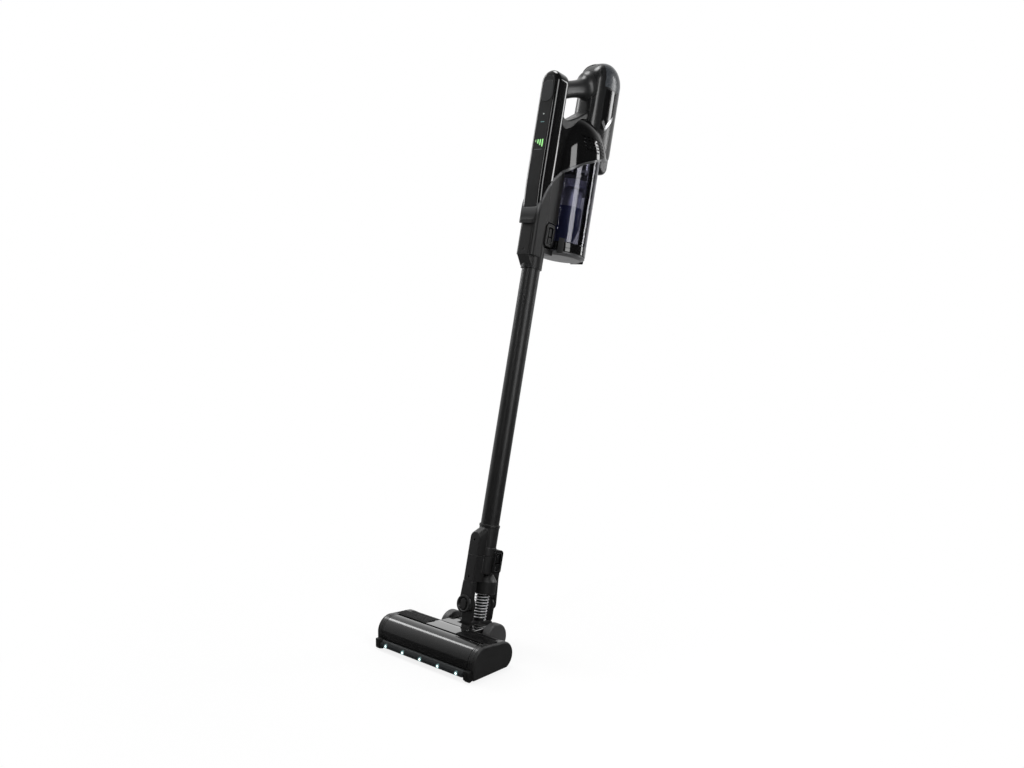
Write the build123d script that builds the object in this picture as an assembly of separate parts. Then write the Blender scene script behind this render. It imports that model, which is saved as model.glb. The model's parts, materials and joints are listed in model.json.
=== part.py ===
"""Cordless stick vacuum: floor head, neck, wand and handheld unit.

World frame: origin on the floor under the tilt axis, +X to the right end of
the floor head, +Y to the rear, +Z up.  Everything above the tilt axis is
drawn in the wand frame (z along the wand, y rearward) and leaned back.
All lengths are in millimetres.
"""
import os
from math import acos, atan2, cos, degrees, hypot, pi, radians, sin

from build123d import *

# ---- whole machine -------------------------------------------------------
TILT = 13.75            # backward lean of the wand at rest, degrees
PIVOT_Z = 27.0          # tilt axis above the floor
RUN = 0.06              # radial clearance of a turning pin
SLIP = 0.10             # radial clearance of a part that pulls out
GAP = 0.30              # air between parts that pass each other
WALL = 2.5              # usual moulding wall

# ---- wand ----------------------------------------------------------------
TUBE_R = 17.5
TUBE_WALL = 1.5
TUBE_LO, TUBE_HI = 150.0, 745.0
COLLAR_R = 19.7
JOINT_LO = 141.5        # plane where the wand foot meets the neck
JOINT_HI = 689.0        # lower lip of the handheld socket
SPIGOT_LO, SPIGOT_IN = 110.0, 13.2
CASE_HX, CASE_Y = 12.0, -35.5     # front casing half width and front face
CASE_TOP, CASE_SLOPE = 185.0, 0.6  # arch top at the front, and its rise to the rear
COLLAR_TOP = 200.5
SCREW_R = 2.2
FOOT_SCREW_Z, NECK_SCREW_Z, SOCKET_SCREW_Z = 170.5, 101.5, 721.0

# ---- neck and steering joint ---------------------------------------------
SOCKET_R = 19.5
NECK_LO = 92.0
ARM_TOP = 93.0
BRIDGE_Z = (98.0, 110.5)         # bridge from the neck to its rear leg
STEER_Z = 50.5
BELL_Y, BELL_R, BELL_TOP_R = 11.5, 23.0, 14.0
BELL_LO, BELL_MID, BELL_HI = 71.0, 89.0, 107.0
HOSE_R = 10.8
HOSE_TOP, SEAT_LO, SEAT_R = 95.0, 85.0, 12.6
SPRING_R, WIRE_R, SPRING_PITCH = 12.4, 0.9, 4.6
BOSS_R, BOSS_OUT = 17.0, 3.5      # cover disc of the front steering pin
DECK_Z = 19.0           # top of the yoke, where hose and spring stand
PIN_R = 5.0
ARM_FRONT = (CASE_Y, -24.3)
ARM_REAR = (36.0, 41.5)
LUG_FRONT = (-24.0, -17.5)
LUG_REAR = (31.2, 35.7)
LATCH_HX, LATCH_Y, LATCH_H = 22.2, (2.0, 27.0), 44.0
LATCH_TRAVEL = 2.0
NECK_LATCH_Z = 133.0
WAND_LATCH_Z = 757.0

# ---- floor head ----------------------------------------------------------
HEAD_HX = 125.5         # half width over the end caps
COVER_HX = 110.0        # half width of the roller cover
ROLL_Y, ROLL_Z = -98.0, 28.0      # roller cover centre
COVER_R = 28.4
REAR_Y, REAR_Z, REAR_R = -52.0, 26.0, 25.5
SOLE_Z = 3.0
BRUSH_Z, BRUSH_R, CORE_R = 24.0, 23.6, 14.0
CHAMBER_R = 24.6
BARREL_R, BARREL_HX = 17.0, 36.0
CHEEK_HX = 44.0
WHEEL_R, WHEEL_X = 26.8, (45.0, 62.0)
AXLE_R = 4.0
LED_PITCH, LED_COUNT = 45.5, 5
LED_Y, LED_Z = -132.0, 13.6
STRIP_HX = 105.2
MOTOR_R, ROTOR_R = 14.0, 9.5
BELT_X = (-105.0, -98.5)
SOLE_ROLL, SOLE_ROLL_R = (-68.0, 5.2), 5.0
FOOT_X, FOOT_Y = (105.5, 120.5), (-135.0, -122.0)

# ---- handheld unit -------------------------------------------------------
SPINE_HX, SPINE_Y = 22.5, (-34.5, 1.0)
SPINE_TOP = 1068.0
CHIN_Y = -31.0          # front of the casing under the spine
PANEL_HX, PANEL_Z = 15.5, (895.0, 1056.0)
BUTTON_HX, BUTTON_Z = 13.0, (1005.0, 1042.0)
BIN_Y, BIN_R, BIN_WALL = 79.0, 48.0, 2.2
BAND_Z = (735.0, 753.0)
FLAP_Z = (727.0, 734.7)
FLAP_PIN = (BIN_Y + BIN_R + 5.0, FLAP_Z[0] + 4.5)
PLATE_Z = (862.0, 866.0)
PORT_Z, PORT_R = 800.0, 11.5
TAIL_Y, TAIL_R, TAIL_HX = 118.0, 42.0, 33.0
TAIL_LO, TAIL_HI = 956.0, 1090.0
CAP_Y, CAP_Z = 96.0, 1078.0
BAY_HX, BAY_Y, BAY_LO = 24.3, (98.0, 149.0), 1012.0
CELL_R, CELL_LEN = 9.2, 65.0
GRIP_A, GRIP_B = (10.0, 1042.5), (76.0, 1070.0)
GRIP_RX, GRIP_RZ = 14.5, 17.5
MOTOR_Y, CAN_R = 82.0, 28.0
JACK_Z = 985.0
LOBE, LOBE_R, LOBE_HX = (141.0, 930.0), 17.0, 22.0
TRIM_END = 134.0        # rear end of the trim band
ARCH = [(-44, 770), (-36, 772), (-31.5, 790), (-24, 819), (-12, 845), (4, 865), (25, 886),
        (48, 904), (79, 920), (110, 932), (138, 941), (175, 950)]
ARCH_HALF = 2.3


# ---- shape helpers -------------------------------------------------------
def box(x, y, z):
    """Box between the limits given as (low, high) pairs."""
    size = [b - a for a, b in (x, y, z)]
    mid = [(a + b) / 2 for a, b in (x, y, z)]
    return Pos(*mid) * Box(*size)


def cyl_x(y, z, x, r):
    return Pos((x[0] + x[1]) / 2, y, z) * Rot(0, 90, 0) * Cylinder(r, x[1] - x[0])


def cyl_y(x, z, y, r):
    return Pos(x, (y[0] + y[1]) / 2, z) * Rot(90, 0, 0) * Cylinder(r, y[1] - y[0])


def cyl_z(y, z, r, x=0.0):
    return Pos(x, y, (z[0] + z[1]) / 2) * Cylinder(r, z[1] - z[0])


def ring_z(y, z, r_out, r_in, x=0.0):
    return cyl_z(y, z, r_out, x) - cyl_z(y, (z[0] - 1, z[1] + 1), r_in, x)


def cone_z(y, z, r_low, r_high):
    return Pos(0, y, (z[0] + z[1]) / 2) * Cone(r_low, r_high, z[1] - z[0])


def hull2(a, ra, b, rb):
    """Flat outline round two circles, with straight tangents between."""
    dist = hypot(b[0] - a[0], b[1] - a[1])
    head = atan2(b[1] - a[1], b[0] - a[0])
    spread = acos((ra - rb) / dist)
    pts = []
    for side in (1, -1):
        n = (cos(head + side * spread), sin(head + side * spread))
        pts.append((a[0] + ra * n[0], a[1] + ra * n[1]))
        pts.append((b[0] + rb * n[0], b[1] + rb * n[1]))
    quad = make_face(Polyline(pts[0], pts[1], pts[3], pts[2], close=True))
    return Pos(*a) * Circle(ra) + Pos(*b) * Circle(rb) + quad


def side_prism(outline, x):
    """Extrude a (y, z) outline between two x limits."""
    return extrude(Plane.YZ.offset(x[0]) * outline, amount=x[1] - x[0])


def front_prism(outline, y):
    """Extrude an (x, z) outline between two y limits."""
    plane = Plane(origin=(0, y[0], 0), x_dir=(-1, 0, 0), z_dir=(0, 1, 0))
    return extrude(plane * outline, amount=y[1] - y[0])


def poly(*pts):
    return make_face(Polyline(*pts, close=True))


def wand(shape):
    """Put a shape drawn in the wand frame into the world frame."""
    return Location((0, 0, PIVOT_Z), (-TILT, 0, 0)) * shape


def group(*shapes):
    return Compound(children=list(shapes))


def mirrored(shape):
    """A shape together with its mirror image across x = 0."""
    return group(shape, mirror(shape, Plane.YZ))


# ---- masks shared by the handheld parts ----------------------------------
def arch_points(shift):
    """The sweeping trim line, moved sideways by shift."""
    out = []
    for i, (y, z) in enumerate(ARCH):
        y0, z0 = ARCH[max(i - 1, 0)]
        y1, z1 = ARCH[min(i + 1, len(ARCH) - 1)]
        length = hypot(y1 - y0, z1 - z0)
        out.append((y - shift * (z1 - z0) / length, z + shift * (y1 - y0) / length))
    return out


def arch_side(shift, above):
    """Everything above (or below) the trim line moved by shift."""
    pts = arch_points(shift)
    far = 1250.0 if above else 600.0
    edges = [Spline(*pts), Line(pts[-1], (pts[-1][0], far)),
             Line((pts[-1][0], far), (pts[0][0], far)), Line((pts[0][0], far), pts[0])]
    return side_prism(make_face(edges), (-60, 60))


def hood_solid(inset):
    """Bullet-shaped dome over the motor; inset gives the inside."""
    rows = [(850, 86, 47, 66), (920, 86, 47, 70), (962, 84, 42, 60), (990, 79, 29, 41), (1011, 70, 6, 8)]
    faces = []
    for z, y, rx, ry in rows:
        drop = inset if z > 990 else 0
        faces.append(Plane.XY.offset(z - drop) * Pos(0, y) * Ellipse(rx - inset, ry - inset))
    return loft(faces)


def tail_solid():
    """Stadium-shaped rear housing, rounded along both flanks."""
    outline = hull2((TAIL_Y, TAIL_LO), TAIL_R, (TAIL_Y, TAIL_HI), TAIL_R)
    body = side_prism(outline, (-TAIL_HX, TAIL_HX))
    rims = body.faces().filter_by(Axis.X).edges()
    low, high = TAIL_LO - TAIL_R + TAIL_HX, TAIL_HI + TAIL_R - TAIL_HX
    vault = front_prism(hull2((0, low), TAIL_HX, (0, high), TAIL_HX), (60, 180))
    return fillet(rims, 11) & vault


def tail_lobe(solids):
    """Rounded lower end of the tail, hanging behind the top of the bin."""
    (y, z), r = LOBE, LOBE_R
    lobe = side_prism(hull2((y, z), r, (y, z + 25), r), (-LOBE_HX, LOBE_HX))
    lobe = fillet(lobe.faces().filter_by(Axis.X).edges(), 8)
    lobe -= cyl_z(BIN_Y, (600, 1100), BIN_R + 0.7)
    lobe -= box((-40, 40), (0, TRIM_END + GAP), (600, 1100)) & arch_side(-ARCH_HALF - GAP, True)
    return lobe - (solids["hood"] & arch_side(ARCH_HALF, True))


def spine_solid():
    """Tall front body with a round top."""
    outline = hull2((0, 740), SPINE_HX, (0, SPINE_TOP - SPINE_HX), SPINE_HX)
    body = front_prism(outline, SPINE_Y)
    front = body.faces().sort_by(Axis.Y)[0].edges()
    rear = body.faces().sort_by(Axis.Y)[-1].edges()
    body = fillet(front, 10)
    body = fillet(body.faces().sort_by(Axis.Y)[-1].edges(), 5)
    front_y = SPINE_Y[0]
    return body - side_prism(poly((front_y, 850), (CHIN_Y, 785), (CHIN_Y, 600), (-60, 600), (-60, 850)), (-60, 60))


def bin_space(grow=0.4):
    """Room the dust bin needs, open downwards so that it slides out."""
    return cyl_z(BIN_Y, (700, 1000), BIN_R + grow) & arch_side(-ARCH_HALF + 0.0, False)


# ---- handheld unit -------------------------------------------------------
def panel_outline(grow=0.0):
    return hull2((0, PANEL_Z[0] + PANEL_HX), PANEL_HX + grow,
                 (0, PANEL_Z[1] - PANEL_HX), PANEL_HX + grow)


def button_outline(grow=0.0):
    return hull2((0, BUTTON_Z[0] + BUTTON_HX), BUTTON_HX + grow,
                 (0, BUTTON_Z[1] - BUTTON_HX), BUTTON_HX + grow)


def make_spine_shell(spine):
    shell = spine & arch_side(ARCH_HALF, True)
    shell -= box((-18, 18), (-30, -3), (880, 1042))
    shell -= box((-12, 12), (-22, -4), (862, 881))
    shell -= front_prism(panel_outline(), (SPINE_Y[0] - 1, SPINE_Y[0] + 1.5))
    shell -= front_prism(button_outline(SLIP), (SPINE_Y[0] - 1, -29))
    for shape in light_slots():
        shell -= shape
    return shell


def light_slots():
    """Light guides of the front display, long enough to reach the board."""
    y = (SPINE_Y[0] - 0.1, -30.0)
    bars = [box((-10.5 + 5.6 * i, -7.1 + 5.6 * i), y, (923.4 - 1.9 * i, 928 + 0.9 * i)) for i in range(4)]
    dot = cyl_y(0, 980, y, 1.4)
    dash = box((-4.5, 4.5), y, (964.4, 965.6))
    return bars + [dot, dash]


def make_control_panel():
    panel = front_prism(panel_outline(), (SPINE_Y[0], SPINE_Y[0] + 1.5))
    panel -= front_prism(button_outline(SLIP), (-40, -30))
    for shape in light_slots():
        panel -= shape
    return panel


def make_power_button():
    return front_prism(button_outline(), (SPINE_Y[0] - 1.0, -31.8))


def make_control_board():
    return box((-16, 16), (-30.0, -28.4), (900, 1040)) - front_prism(button_outline(2), (-31, -28))


def make_web_frame(solids):
    """Saddle between spine and tail; its top is the floor of the finger gap."""
    top = Spline((1.0, 992), (12, 984), (34, 992), (62, 1011), (84, 1028))
    edges = [top, Line((84, 1028), (84, 800)), Line((84, 800), (1.0, 800)), Line((1.0, 800), (1.0, 992))]
    web = side_prism(make_face(edges), (-17, 17)) & arch_side(ARCH_HALF, True)
    return web - solids["hood"] - solids["tail"]


def make_grip_handle(solids):
    """Round bar from spine to tail, flaring where it meets the tail."""
    (y0, z0), (y1, z1) = GRIP_A, GRIP_B
    run = hypot(y1 - y0, z1 - z0)
    way = (0, (y1 - y0) / run, (z1 - z0) / run)

    def station(s, rx, rz):
        plane = Plane(origin=(0, y0 + way[1] * s, z0 + way[2] * s), x_dir=(1, 0, 0), z_dir=way)
        return plane * Ellipse(rx, rz)

    bar = extrude(station(-14, GRIP_RX, GRIP_RZ), amount=64)
    flare = loft([station(50, GRIP_RX, GRIP_RZ), station(60, 17, 21), station(76, 25, 33)])
    return (bar + flare) - solids["spine"] - solids["tail"]


def tail_inside():
    """Battery bay, open at the top, and the room left round its walls."""
    bay = box((-BAY_HX, BAY_HX), BAY_Y, (BAY_LO, CAP_Z + 1))
    walls = box((-BAY_HX - 2, BAY_HX + 2), (BAY_Y[0] - 2, BAY_Y[1] + 2), (BAY_LO - 2, CAP_Z))
    outline = hull2((TAIL_Y, TAIL_LO), TAIL_R - WALL, (TAIL_Y, TAIL_HI), TAIL_R - WALL)
    room = side_prism(outline, (WALL - TAIL_HX, TAIL_HX - WALL)) & box((-40, 40), (60, 170), (900, CAP_Z - WALL))
    return bay + (room - walls)


def window_outline():
    return poly((100, CAP_Z - 3), (130, CAP_Z - 3), (130, 1018), (112, 992), (100, 992))


def make_tail_windows():
    plate = side_prism(window_outline(), (TAIL_HX - 1.2, TAIL_HX))
    return mirrored(plate)


def make_tail_shell(solids):
    shell = solids["tail"] - solids["hood"] - bin_space(0.5)
    shell -= box((-40, 40), (CAP_Y, 170), (CAP_Z, 1140))
    shell -= tail_inside()
    for side in (1, -1):
        flat = side_prism(window_outline(), (TAIL_HX - 1.2, TAIL_HX + 1))
        shell -= flat if side == 1 else mirror(flat, Plane.YZ)
    shell -= cyl_y(0, JACK_Z, (148, 161), 6.0)
    return (shell & arch_side(ARCH_HALF, True)) + tail_lobe(solids)


def make_charge_socket():
    jack = cyl_y(0, JACK_Z, (148, 159.6), 6.0)
    return jack - cyl_y(0, JACK_Z, (149.6, 162), 2.75)


def make_motor_hood():
    shell = hood_solid(0) - hood_solid(WALL)
    shell = shell & arch_side(ARCH_HALF, True)
    for row in range(4):
        for slot in range(4):
            z = 944 + 8 * row
            y = 92 + 9 * slot
            shell -= box((-50, 50), (y, y + 6), (z, z + 2.2))
    return shell


def plan_outline(grow):
    """Plan of spine, joining block and bin, used to cut the trim band."""
    spine = Pos(0, -16.75) * RectangleRounded(2 * (SPINE_HX + grow), 35.5 + 2 * grow, 9.5 + grow)
    block = Pos(0, 20) * Rectangle(2 * (19.5 + grow), 60)
    drum = Pos(0, BIN_Y) * Circle(BIN_R + grow)
    return spine + block + drum


def make_arch_trim():
    ring = extrude(plan_outline(0.8) - plan_outline(-2.4), amount=300)
    band = arch_side(-ARCH_HALF, True) & arch_side(ARCH_HALF, False)
    trim = (Pos(0, 0, 740) * ring) & band
    trim = trim & box((-60, 60), (-40, TRIM_END), (700, 1000))
    return trim


def make_connector(solids):
    """Casing that receives the wand and leads the air to the bin."""
    body = box((-20, 20), (CHIN_Y, 0), (712, 900))
    body = fillet(body.faces().sort_by(Axis.Y)[0].edges().filter_by(Axis.Z), 9)
    body += box((-19.5, 19.5), (-1, 31), (722, 900))
    body += cyl_z(0, (JOINT_HI, 760), COLLAR_R + 0.6)
    body += side_prism(poly((CHIN_Y, 712), (-16, JOINT_HI + 3), (-10, 712)), (-14, 14))
    body = body & arch_side(-ARCH_HALF, False)
    body -= cyl_z(0, (680, TUBE_HI + 1), TUBE_R + SLIP)
    body -= cyl_z(0, (TUBE_HI, PORT_Z + 10), 14.0)
    body -= cyl_y(0, PORT_Z, (0, 40), PORT_R)
    body -= cyl_z(BIN_Y, (600, 1000), BIN_R + 0.7)
    body -= latch_room(WAND_LATCH_Z)
    body -= cyl_y(0, SOCKET_SCREW_Z, (-40, CHIN_Y + 9), SCREW_R)
    return body


def latch_room(z):
    """Pocket round the stirrup latch, leaving the socket wall standing."""
    room = box((-40, 40), (-1.5, 40), (z - LATCH_H / 2 - 3, z + LATCH_H / 2 + 3))
    return room - cyl_z(0, (z - 60, z + 60), SOCKET_R)


def make_latch(z):
    """Stirrup latch: rear button and two cheeks astride the socket."""
    side = Pos(LATCH_Y[0] + 12.5, z) * RectangleRounded(25, LATCH_H, 7)
    body = side_prism(side, (-LATCH_HX, LATCH_HX))
    body -= box((-SOCKET_R - GAP, SOCKET_R + GAP), (-5, 19.8 + LATCH_TRAVEL), (z - 40, z + 40))
    pads = mirrored(side_prism(Pos(LATCH_Y[0] + 12.5, z) * RectangleRounded(14, 28, 5),
                               (SOCKET_R + 1.6, SOCKET_R + GAP + 3)))
    return body - pads


def make_screw(z, y_front):
    """Recessed cross-head screw that points forward."""
    head = cyl_y(0, z, (y_front + 2.0, y_front + 4.5), SCREW_R)
    shank = cyl_y(0, z, (y_front + 4.5, y_front + 9.0), 1.2)
    cross = box((-1.5, 1.5), (y_front + 1, y_front + 3), (z - 0.3, z + 0.3))
    cross += box((-0.3, 0.3), (y_front + 1, y_front + 3), (z - 1.5, z + 1.5))
    return head + shank - cross


def make_port_seal():
    seal = cyl_y(0, PORT_Z, (27, 45), PORT_R) - cyl_y(0, PORT_Z, (20, 50), PORT_R - 2)
    return seal - cyl_z(BIN_Y, (700, 900), BIN_R + GAP)


# ---- motor ---------------------------------------------------------------
def make_motor_can():
    can = cyl_z(MOTOR_Y, (905, 958), CAN_R)
    can -= ring_z(MOTOR_Y, (909, 955), CAN_R - 2, 15)
    can -= cyl_z(MOTOR_Y, (904, 916), 3.0 + RUN)
    return can - ring_z(MOTOR_Y, (954, 959), 22, 17)


def make_motor_fan():
    fan = cyl_z(MOTOR_Y, (890, 892), 27) + cyl_z(MOTOR_Y, (890, 901), 7)
    fan += cyl_z(MOTOR_Y, (900, 915.7), 3.0)
    blade = box((6, 26), (-0.8, 0.8), (891.5, 900))
    for i in range(9):
        fan += Pos(0, MOTOR_Y, 0) * Rot(0, 0, 40 * i) * blade
    return fan


def make_motor_mount(hood_inner):
    """Rubber web that hangs the motor inside the hood."""
    web = hood_inner & box((-60, 60), (0, 170), (944, 949)) & arch_side(ARCH_HALF, True)
    web -= cyl_z(MOTOR_Y, (900, 960), CAN_R)
    return web


# ---- battery -------------------------------------------------------------
def make_battery_cap(solids):
    cap = solids["tail"] & box((-40, 40), (CAP_Y + GAP, 170), (CAP_Z + GAP, 1140))
    return cap - box((-24, 24), (CAP_Y - 1, BAY_Y[1] - 0.4), (CAP_Z, 1100))


def make_battery_case():
    case = box((-24, 24), (BAY_Y[0] + 0.3, BAY_Y[1] - 0.4), (BAY_LO + GAP, 1100))
    return case - box((-22, 22), (BAY_Y[0] + 2, BAY_Y[1] - 2.4), (BAY_LO + 2, 1098))


def make_battery_cells():
    cells = []
    for x in (-10.5, 10.5):
        for i in range(2):
            y = BAY_Y[0] + 13 + 24 * i
            cells.append(cyl_z(y, (BAY_LO + 2, BAY_LO + 2 + CELL_LEN), CELL_R, x))
    return group(*cells)


# ---- dust bin ------------------------------------------------------------
def make_bin_wall():
    wall = ring_z(BIN_Y, (BAND_Z[1], 1000), BIN_R, BIN_R - BIN_WALL)
    wall = wall & arch_side(-ARCH_HALF - GAP, False)
    return wall - cyl_y(0, PORT_Z, (20, 50), PORT_R - 2)


def make_bin_band():
    band = ring_z(BIN_Y, BAND_Z, BIN_R + 0.6, BIN_R - BIN_WALL)
    for x in ((-14, -8), (8, 14)):
        knuckle = cyl_x(FLAP_PIN[0], FLAP_PIN[1], x, 3.4)
        tab = box(x, (BIN_Y + BIN_R + 0.6, FLAP_PIN[0] + 3.4), (FLAP_PIN[1], BAND_Z[0] + 8))
        root = box(x, (BIN_Y + BIN_R - 2, BIN_Y + BIN_R + 1), (BAND_Z[0], BAND_Z[0] + 8))
        band += knuckle + tab + root
    band -= cyl_x(FLAP_PIN[0], FLAP_PIN[1], (-20, 20), 1.5)
    return band


def make_bin_flap():
    z0, z1 = FLAP_Z
    flap = cone_z(BIN_Y, (z0, z0 + 4), 40, BIN_R) + cyl_z(BIN_Y, (z0 + 4, z1), BIN_R)
    knuckle = cyl_x(FLAP_PIN[0], FLAP_PIN[1], (-7.7, 7.7), 3.4)
    tab = box((-7.7, 7.7), (BIN_Y + BIN_R - 8, FLAP_PIN[0]), (z0 + 1.1, FLAP_PIN[1] + 1))
    flap += knuckle + tab
    return flap - cyl_x(FLAP_PIN[0], FLAP_PIN[1], (-20, 20), 1.5 + RUN)


def make_flap_pin():
    return cyl_x(FLAP_PIN[0], FLAP_PIN[1], (-14, 14), 1.5)


def make_flap_latch():
    """Small slider on the band that lets the flap go."""
    arc = ring_z(BIN_Y, (FLAP_Z[0] + 2, BAND_Z[1] + 6), BIN_R + 3.6, BIN_R + 0.6 + GAP)
    wedge = Pos(0, BIN_Y, 745) * Rot(0, 0, -52) * Pos(30, 0, 0) * Box(60, 11, 60)
    return arc & wedge


def make_cyclone_core():
    r_in = BIN_R - BIN_WALL
    core = ring_z(BIN_Y, PLATE_Z, r_in, 13)
    core += ring_z(BIN_Y, (826, PLATE_Z[0] + 1), 16, 13)
    core += cyl_z(BIN_Y, (790, 828), 28) - cyl_z(BIN_Y, (780, 824), 25.5)
    core -= cyl_z(BIN_Y, (820, 830), 13)
    core += cone_z(BIN_Y, (752, 790), 17, 28) - cone_z(BIN_Y, (750, 790.5), 14.5, 25.5)
    return core


def make_mesh_screen():
    return ring_z(BIN_Y, (828, PLATE_Z[0]), 24, 23.2)


def make_bin_filter():
    return ring_z(BIN_Y, (PLATE_Z[1], PLATE_Z[1] + 13), 41, 8)


# ---- wand ----------------------------------------------------------------
def make_wand_tube():
    return ring_z(0, (TUBE_LO, TUBE_HI), TUBE_R, TUBE_R - TUBE_WALL)


def arched_casing(z0, z1):
    """Front casing whose arched top rises towards the collar."""
    outline = hull2((0, z0 - 40), CASE_HX, (0, z1 - CASE_HX), CASE_HX)
    plane = Plane(origin=(0, CASE_Y, 0), x_dir=(-1, 0, 0), z_dir=(0, 1, 0))
    depth = -8 - CASE_Y
    body = extrude(plane * outline, amount=hypot(depth, depth * CASE_SLOPE), dir=(0, 1, CASE_SLOPE))
    body = body & box((-30, 30), (CASE_Y, -8), (z0, z1 + 40))
    upright = body.faces().sort_by(Axis.Y)[0].edges().filter_by(Axis.Z)
    return fillet(upright, 3)


def make_wand_foot():
    foot = cyl_z(0, (JOINT_LO, COLLAR_TOP), COLLAR_R)
    foot = chamfer(foot.edges().sort_by(Axis.Z)[-1], 1.2)
    foot += arched_casing(JOINT_LO, CASE_TOP)
    foot -= box((-8.5, 8.5), (CASE_Y + 4, -22), (JOINT_LO - 1, 162))
    foot -= cyl_z(0, (TUBE_LO, 210), TUBE_R)
    foot += cyl_z(0, (SPIGOT_LO, 190), TUBE_R - TUBE_WALL)
    foot -= cyl_z(0, (SPIGOT_LO - 1, 195), SPIGOT_IN)
    foot -= cyl_y(0, FOOT_SCREW_Z, (CASE_Y - 1, CASE_Y + 9), SCREW_R)
    foot -= latch_room(NECK_LATCH_Z)
    return foot


# ---- neck ----------------------------------------------------------------
def bell_space():
    """Outer form of the bell, solid, with room below for the hose."""
    cone = cone_z(BELL_Y, (BELL_MID, BELL_HI), BELL_R, BELL_TOP_R)
    return cone + cyl_z(BELL_Y, (BELL_LO, BELL_MID), BELL_R)


def rear_leg():
    """Rear leg of the neck with the bridge that joins it over the bell."""
    outline = hull2((0, STEER_Z), 12, (0, 100), 8)
    leg = front_prism(outline, ARM_REAR) & box((-30, 30), (20, 60), (0, BRIDGE_Z[1]))
    leg += box((-8, 8), (16, ARM_REAR[1]), BRIDGE_Z)
    return leg - cyl_y(0, STEER_Z, (20, 60), PIN_R)


def make_neck_body():
    body = cyl_z(0, (NECK_LO, JOINT_LO), SOCKET_R)
    front = box((-CASE_HX, CASE_HX), (CASE_Y, -8), (ARM_TOP, JOINT_LO))
    body += fillet(front.faces().sort_by(Axis.Y)[0].edges().filter_by(Axis.Z), 3)
    body -= bell_space()
    body += rear_leg() - bell_space()
    body -= cyl_z(0, (SPIGOT_LO - 2, JOINT_LO + 1), TUBE_R - TUBE_WALL + SLIP)
    body -= cyl_z(BELL_Y / 2, (BELL_HI - 20, SPIGOT_LO), 11.5) & box((-40, 40), (-40, 40), (BELL_HI, SPIGOT_LO))
    body -= box((-8.5, 8.5), (CASE_Y + 4, -22), (96, JOINT_LO - 4))
    return body - cyl_y(0, NECK_SCREW_Z, (CASE_Y - 1, CASE_Y + 9), SCREW_R)


def make_bell_skirt():
    """Turned skirt over the hose, with the seat that grips the hose top."""
    top, hole = BELL_HI, HOSE_R - 2.9
    slope = (BELL_R - BELL_TOP_R) / (top - BELL_MID)
    meet = BELL_MID + (BELL_R - WALL - SEAT_R) / slope
    profile = poly((BELL_R, BELL_LO), (BELL_R, BELL_MID), (BELL_TOP_R, top), (hole, top),
                   (hole, HOSE_TOP), (HOSE_R, HOSE_TOP), (HOSE_R, SEAT_LO), (SEAT_R, SEAT_LO),
                   (SEAT_R, meet), (BELL_R - WALL, BELL_MID), (BELL_R - WALL, BELL_LO))
    turned = revolve(Plane.XZ * profile, axis=Axis.Z)
    return Pos(0, BELL_Y, 0) * turned


def make_front_arm():
    outline = hull2((0, STEER_Z), 14, (0, 100), CASE_HX)
    arm = front_prism(outline, ARM_FRONT) & box((-30, 30), (-60, 0), (0, ARM_TOP))
    arm -= cyl_y(0, STEER_Z, (-50, -20), PIN_R)
    return arm


def make_steer_pins():
    front = cyl_y(0, STEER_Z, (ARM_FRONT[0], LUG_FRONT[1]), PIN_R)
    front += cyl_y(0, STEER_Z, (ARM_FRONT[0] - BOSS_OUT, ARM_FRONT[0]), BOSS_R)
    rear = cyl_y(0, STEER_Z, (LUG_REAR[0], ARM_REAR[1]), PIN_R)
    rear += cyl_y(0, STEER_Z, (ARM_REAR[1], ARM_REAR[1] + 2.5), 10)
    return group(front, rear)


def make_hose_liner():
    return ring_z(BELL_Y, (DECK_Z + GAP, HOSE_TOP), HOSE_R, HOSE_R - 1.6)


def make_hose_spring():
    start_z = DECK_Z + GAP + WIRE_R
    path = Pos(0, BELL_Y, start_z) * Helix(SPRING_PITCH, SEAT_LO - 0.1 - WIRE_R - start_z, SPRING_R)
    start = path.position_at(0)
    plane = Plane(origin=start, z_dir=path.tangent_at(0))
    return sweep(plane * Circle(WIRE_R), path=path, is_frenet=True)


# ---- yoke ----------------------------------------------------------------
def make_yoke():
    """Barrel on the tilt axis with two lugs for the steering pins."""
    yoke = cyl_x(0, 0, (-BARREL_HX, BARREL_HX), BARREL_R)
    (y0, _), (_, y1) = LUG_FRONT, LUG_REAR
    deck = poly((y0, 10), (0, 8), (20, 8), (y1, 14), (y1, DECK_Z), (y0, DECK_Z))
    yoke += side_prism(deck, (-13, 13))
    for y in (LUG_FRONT, LUG_REAR):
        outline = hull2((0, STEER_Z), 12, (0, 26), 12)
        yoke += front_prism(outline, y)
    yoke -= cyl_x(0, 0, (-29, 29), BARREL_R - 3.2)
    yoke -= cyl_z(BELL_Y, (0, 25), HOSE_R - 1.6)
    yoke -= box((-20, 20), (-20, -4), (-8.5, 6.5))
    yoke -= cyl_x(0, 0, (-50, 50), AXLE_R + RUN)
    yoke -= cyl_y(0, STEER_Z, (-40, 50), PIN_R + RUN)
    return yoke


# ---- floor head ----------------------------------------------------------
def head_outline(inset=0.0):
    """Side view of the head: two rounds in one skin, with an upright nose."""
    outline = hull2((ROLL_Y, ROLL_Z), COVER_R - inset, (REAR_Y, REAR_Z), REAR_R - inset)
    outline += Pos(ROLL_Y - (COVER_R - inset) / 2, ROLL_Z / 2) * Rectangle(COVER_R - inset, ROLL_Z)
    return outline & (Pos(-80, 60) * Rectangle(200, 2 * (60 - SOLE_Z)))


def housing_solid():
    outline = hull2((-62, 30), 20.5, (0, PIVOT_Z), 18.5)
    return side_prism(outline, (-CHEEK_HX, CHEEK_HX)) & box((-50, 50), (-90, 40), (SOLE_Z, 60))


def chamber():
    """Space swept for the brush, with end walls left standing."""
    return cyl_x(ROLL_Y, BRUSH_Z, (-COVER_HX + 1.5, COVER_HX - 1.5), CHAMBER_R)


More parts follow.
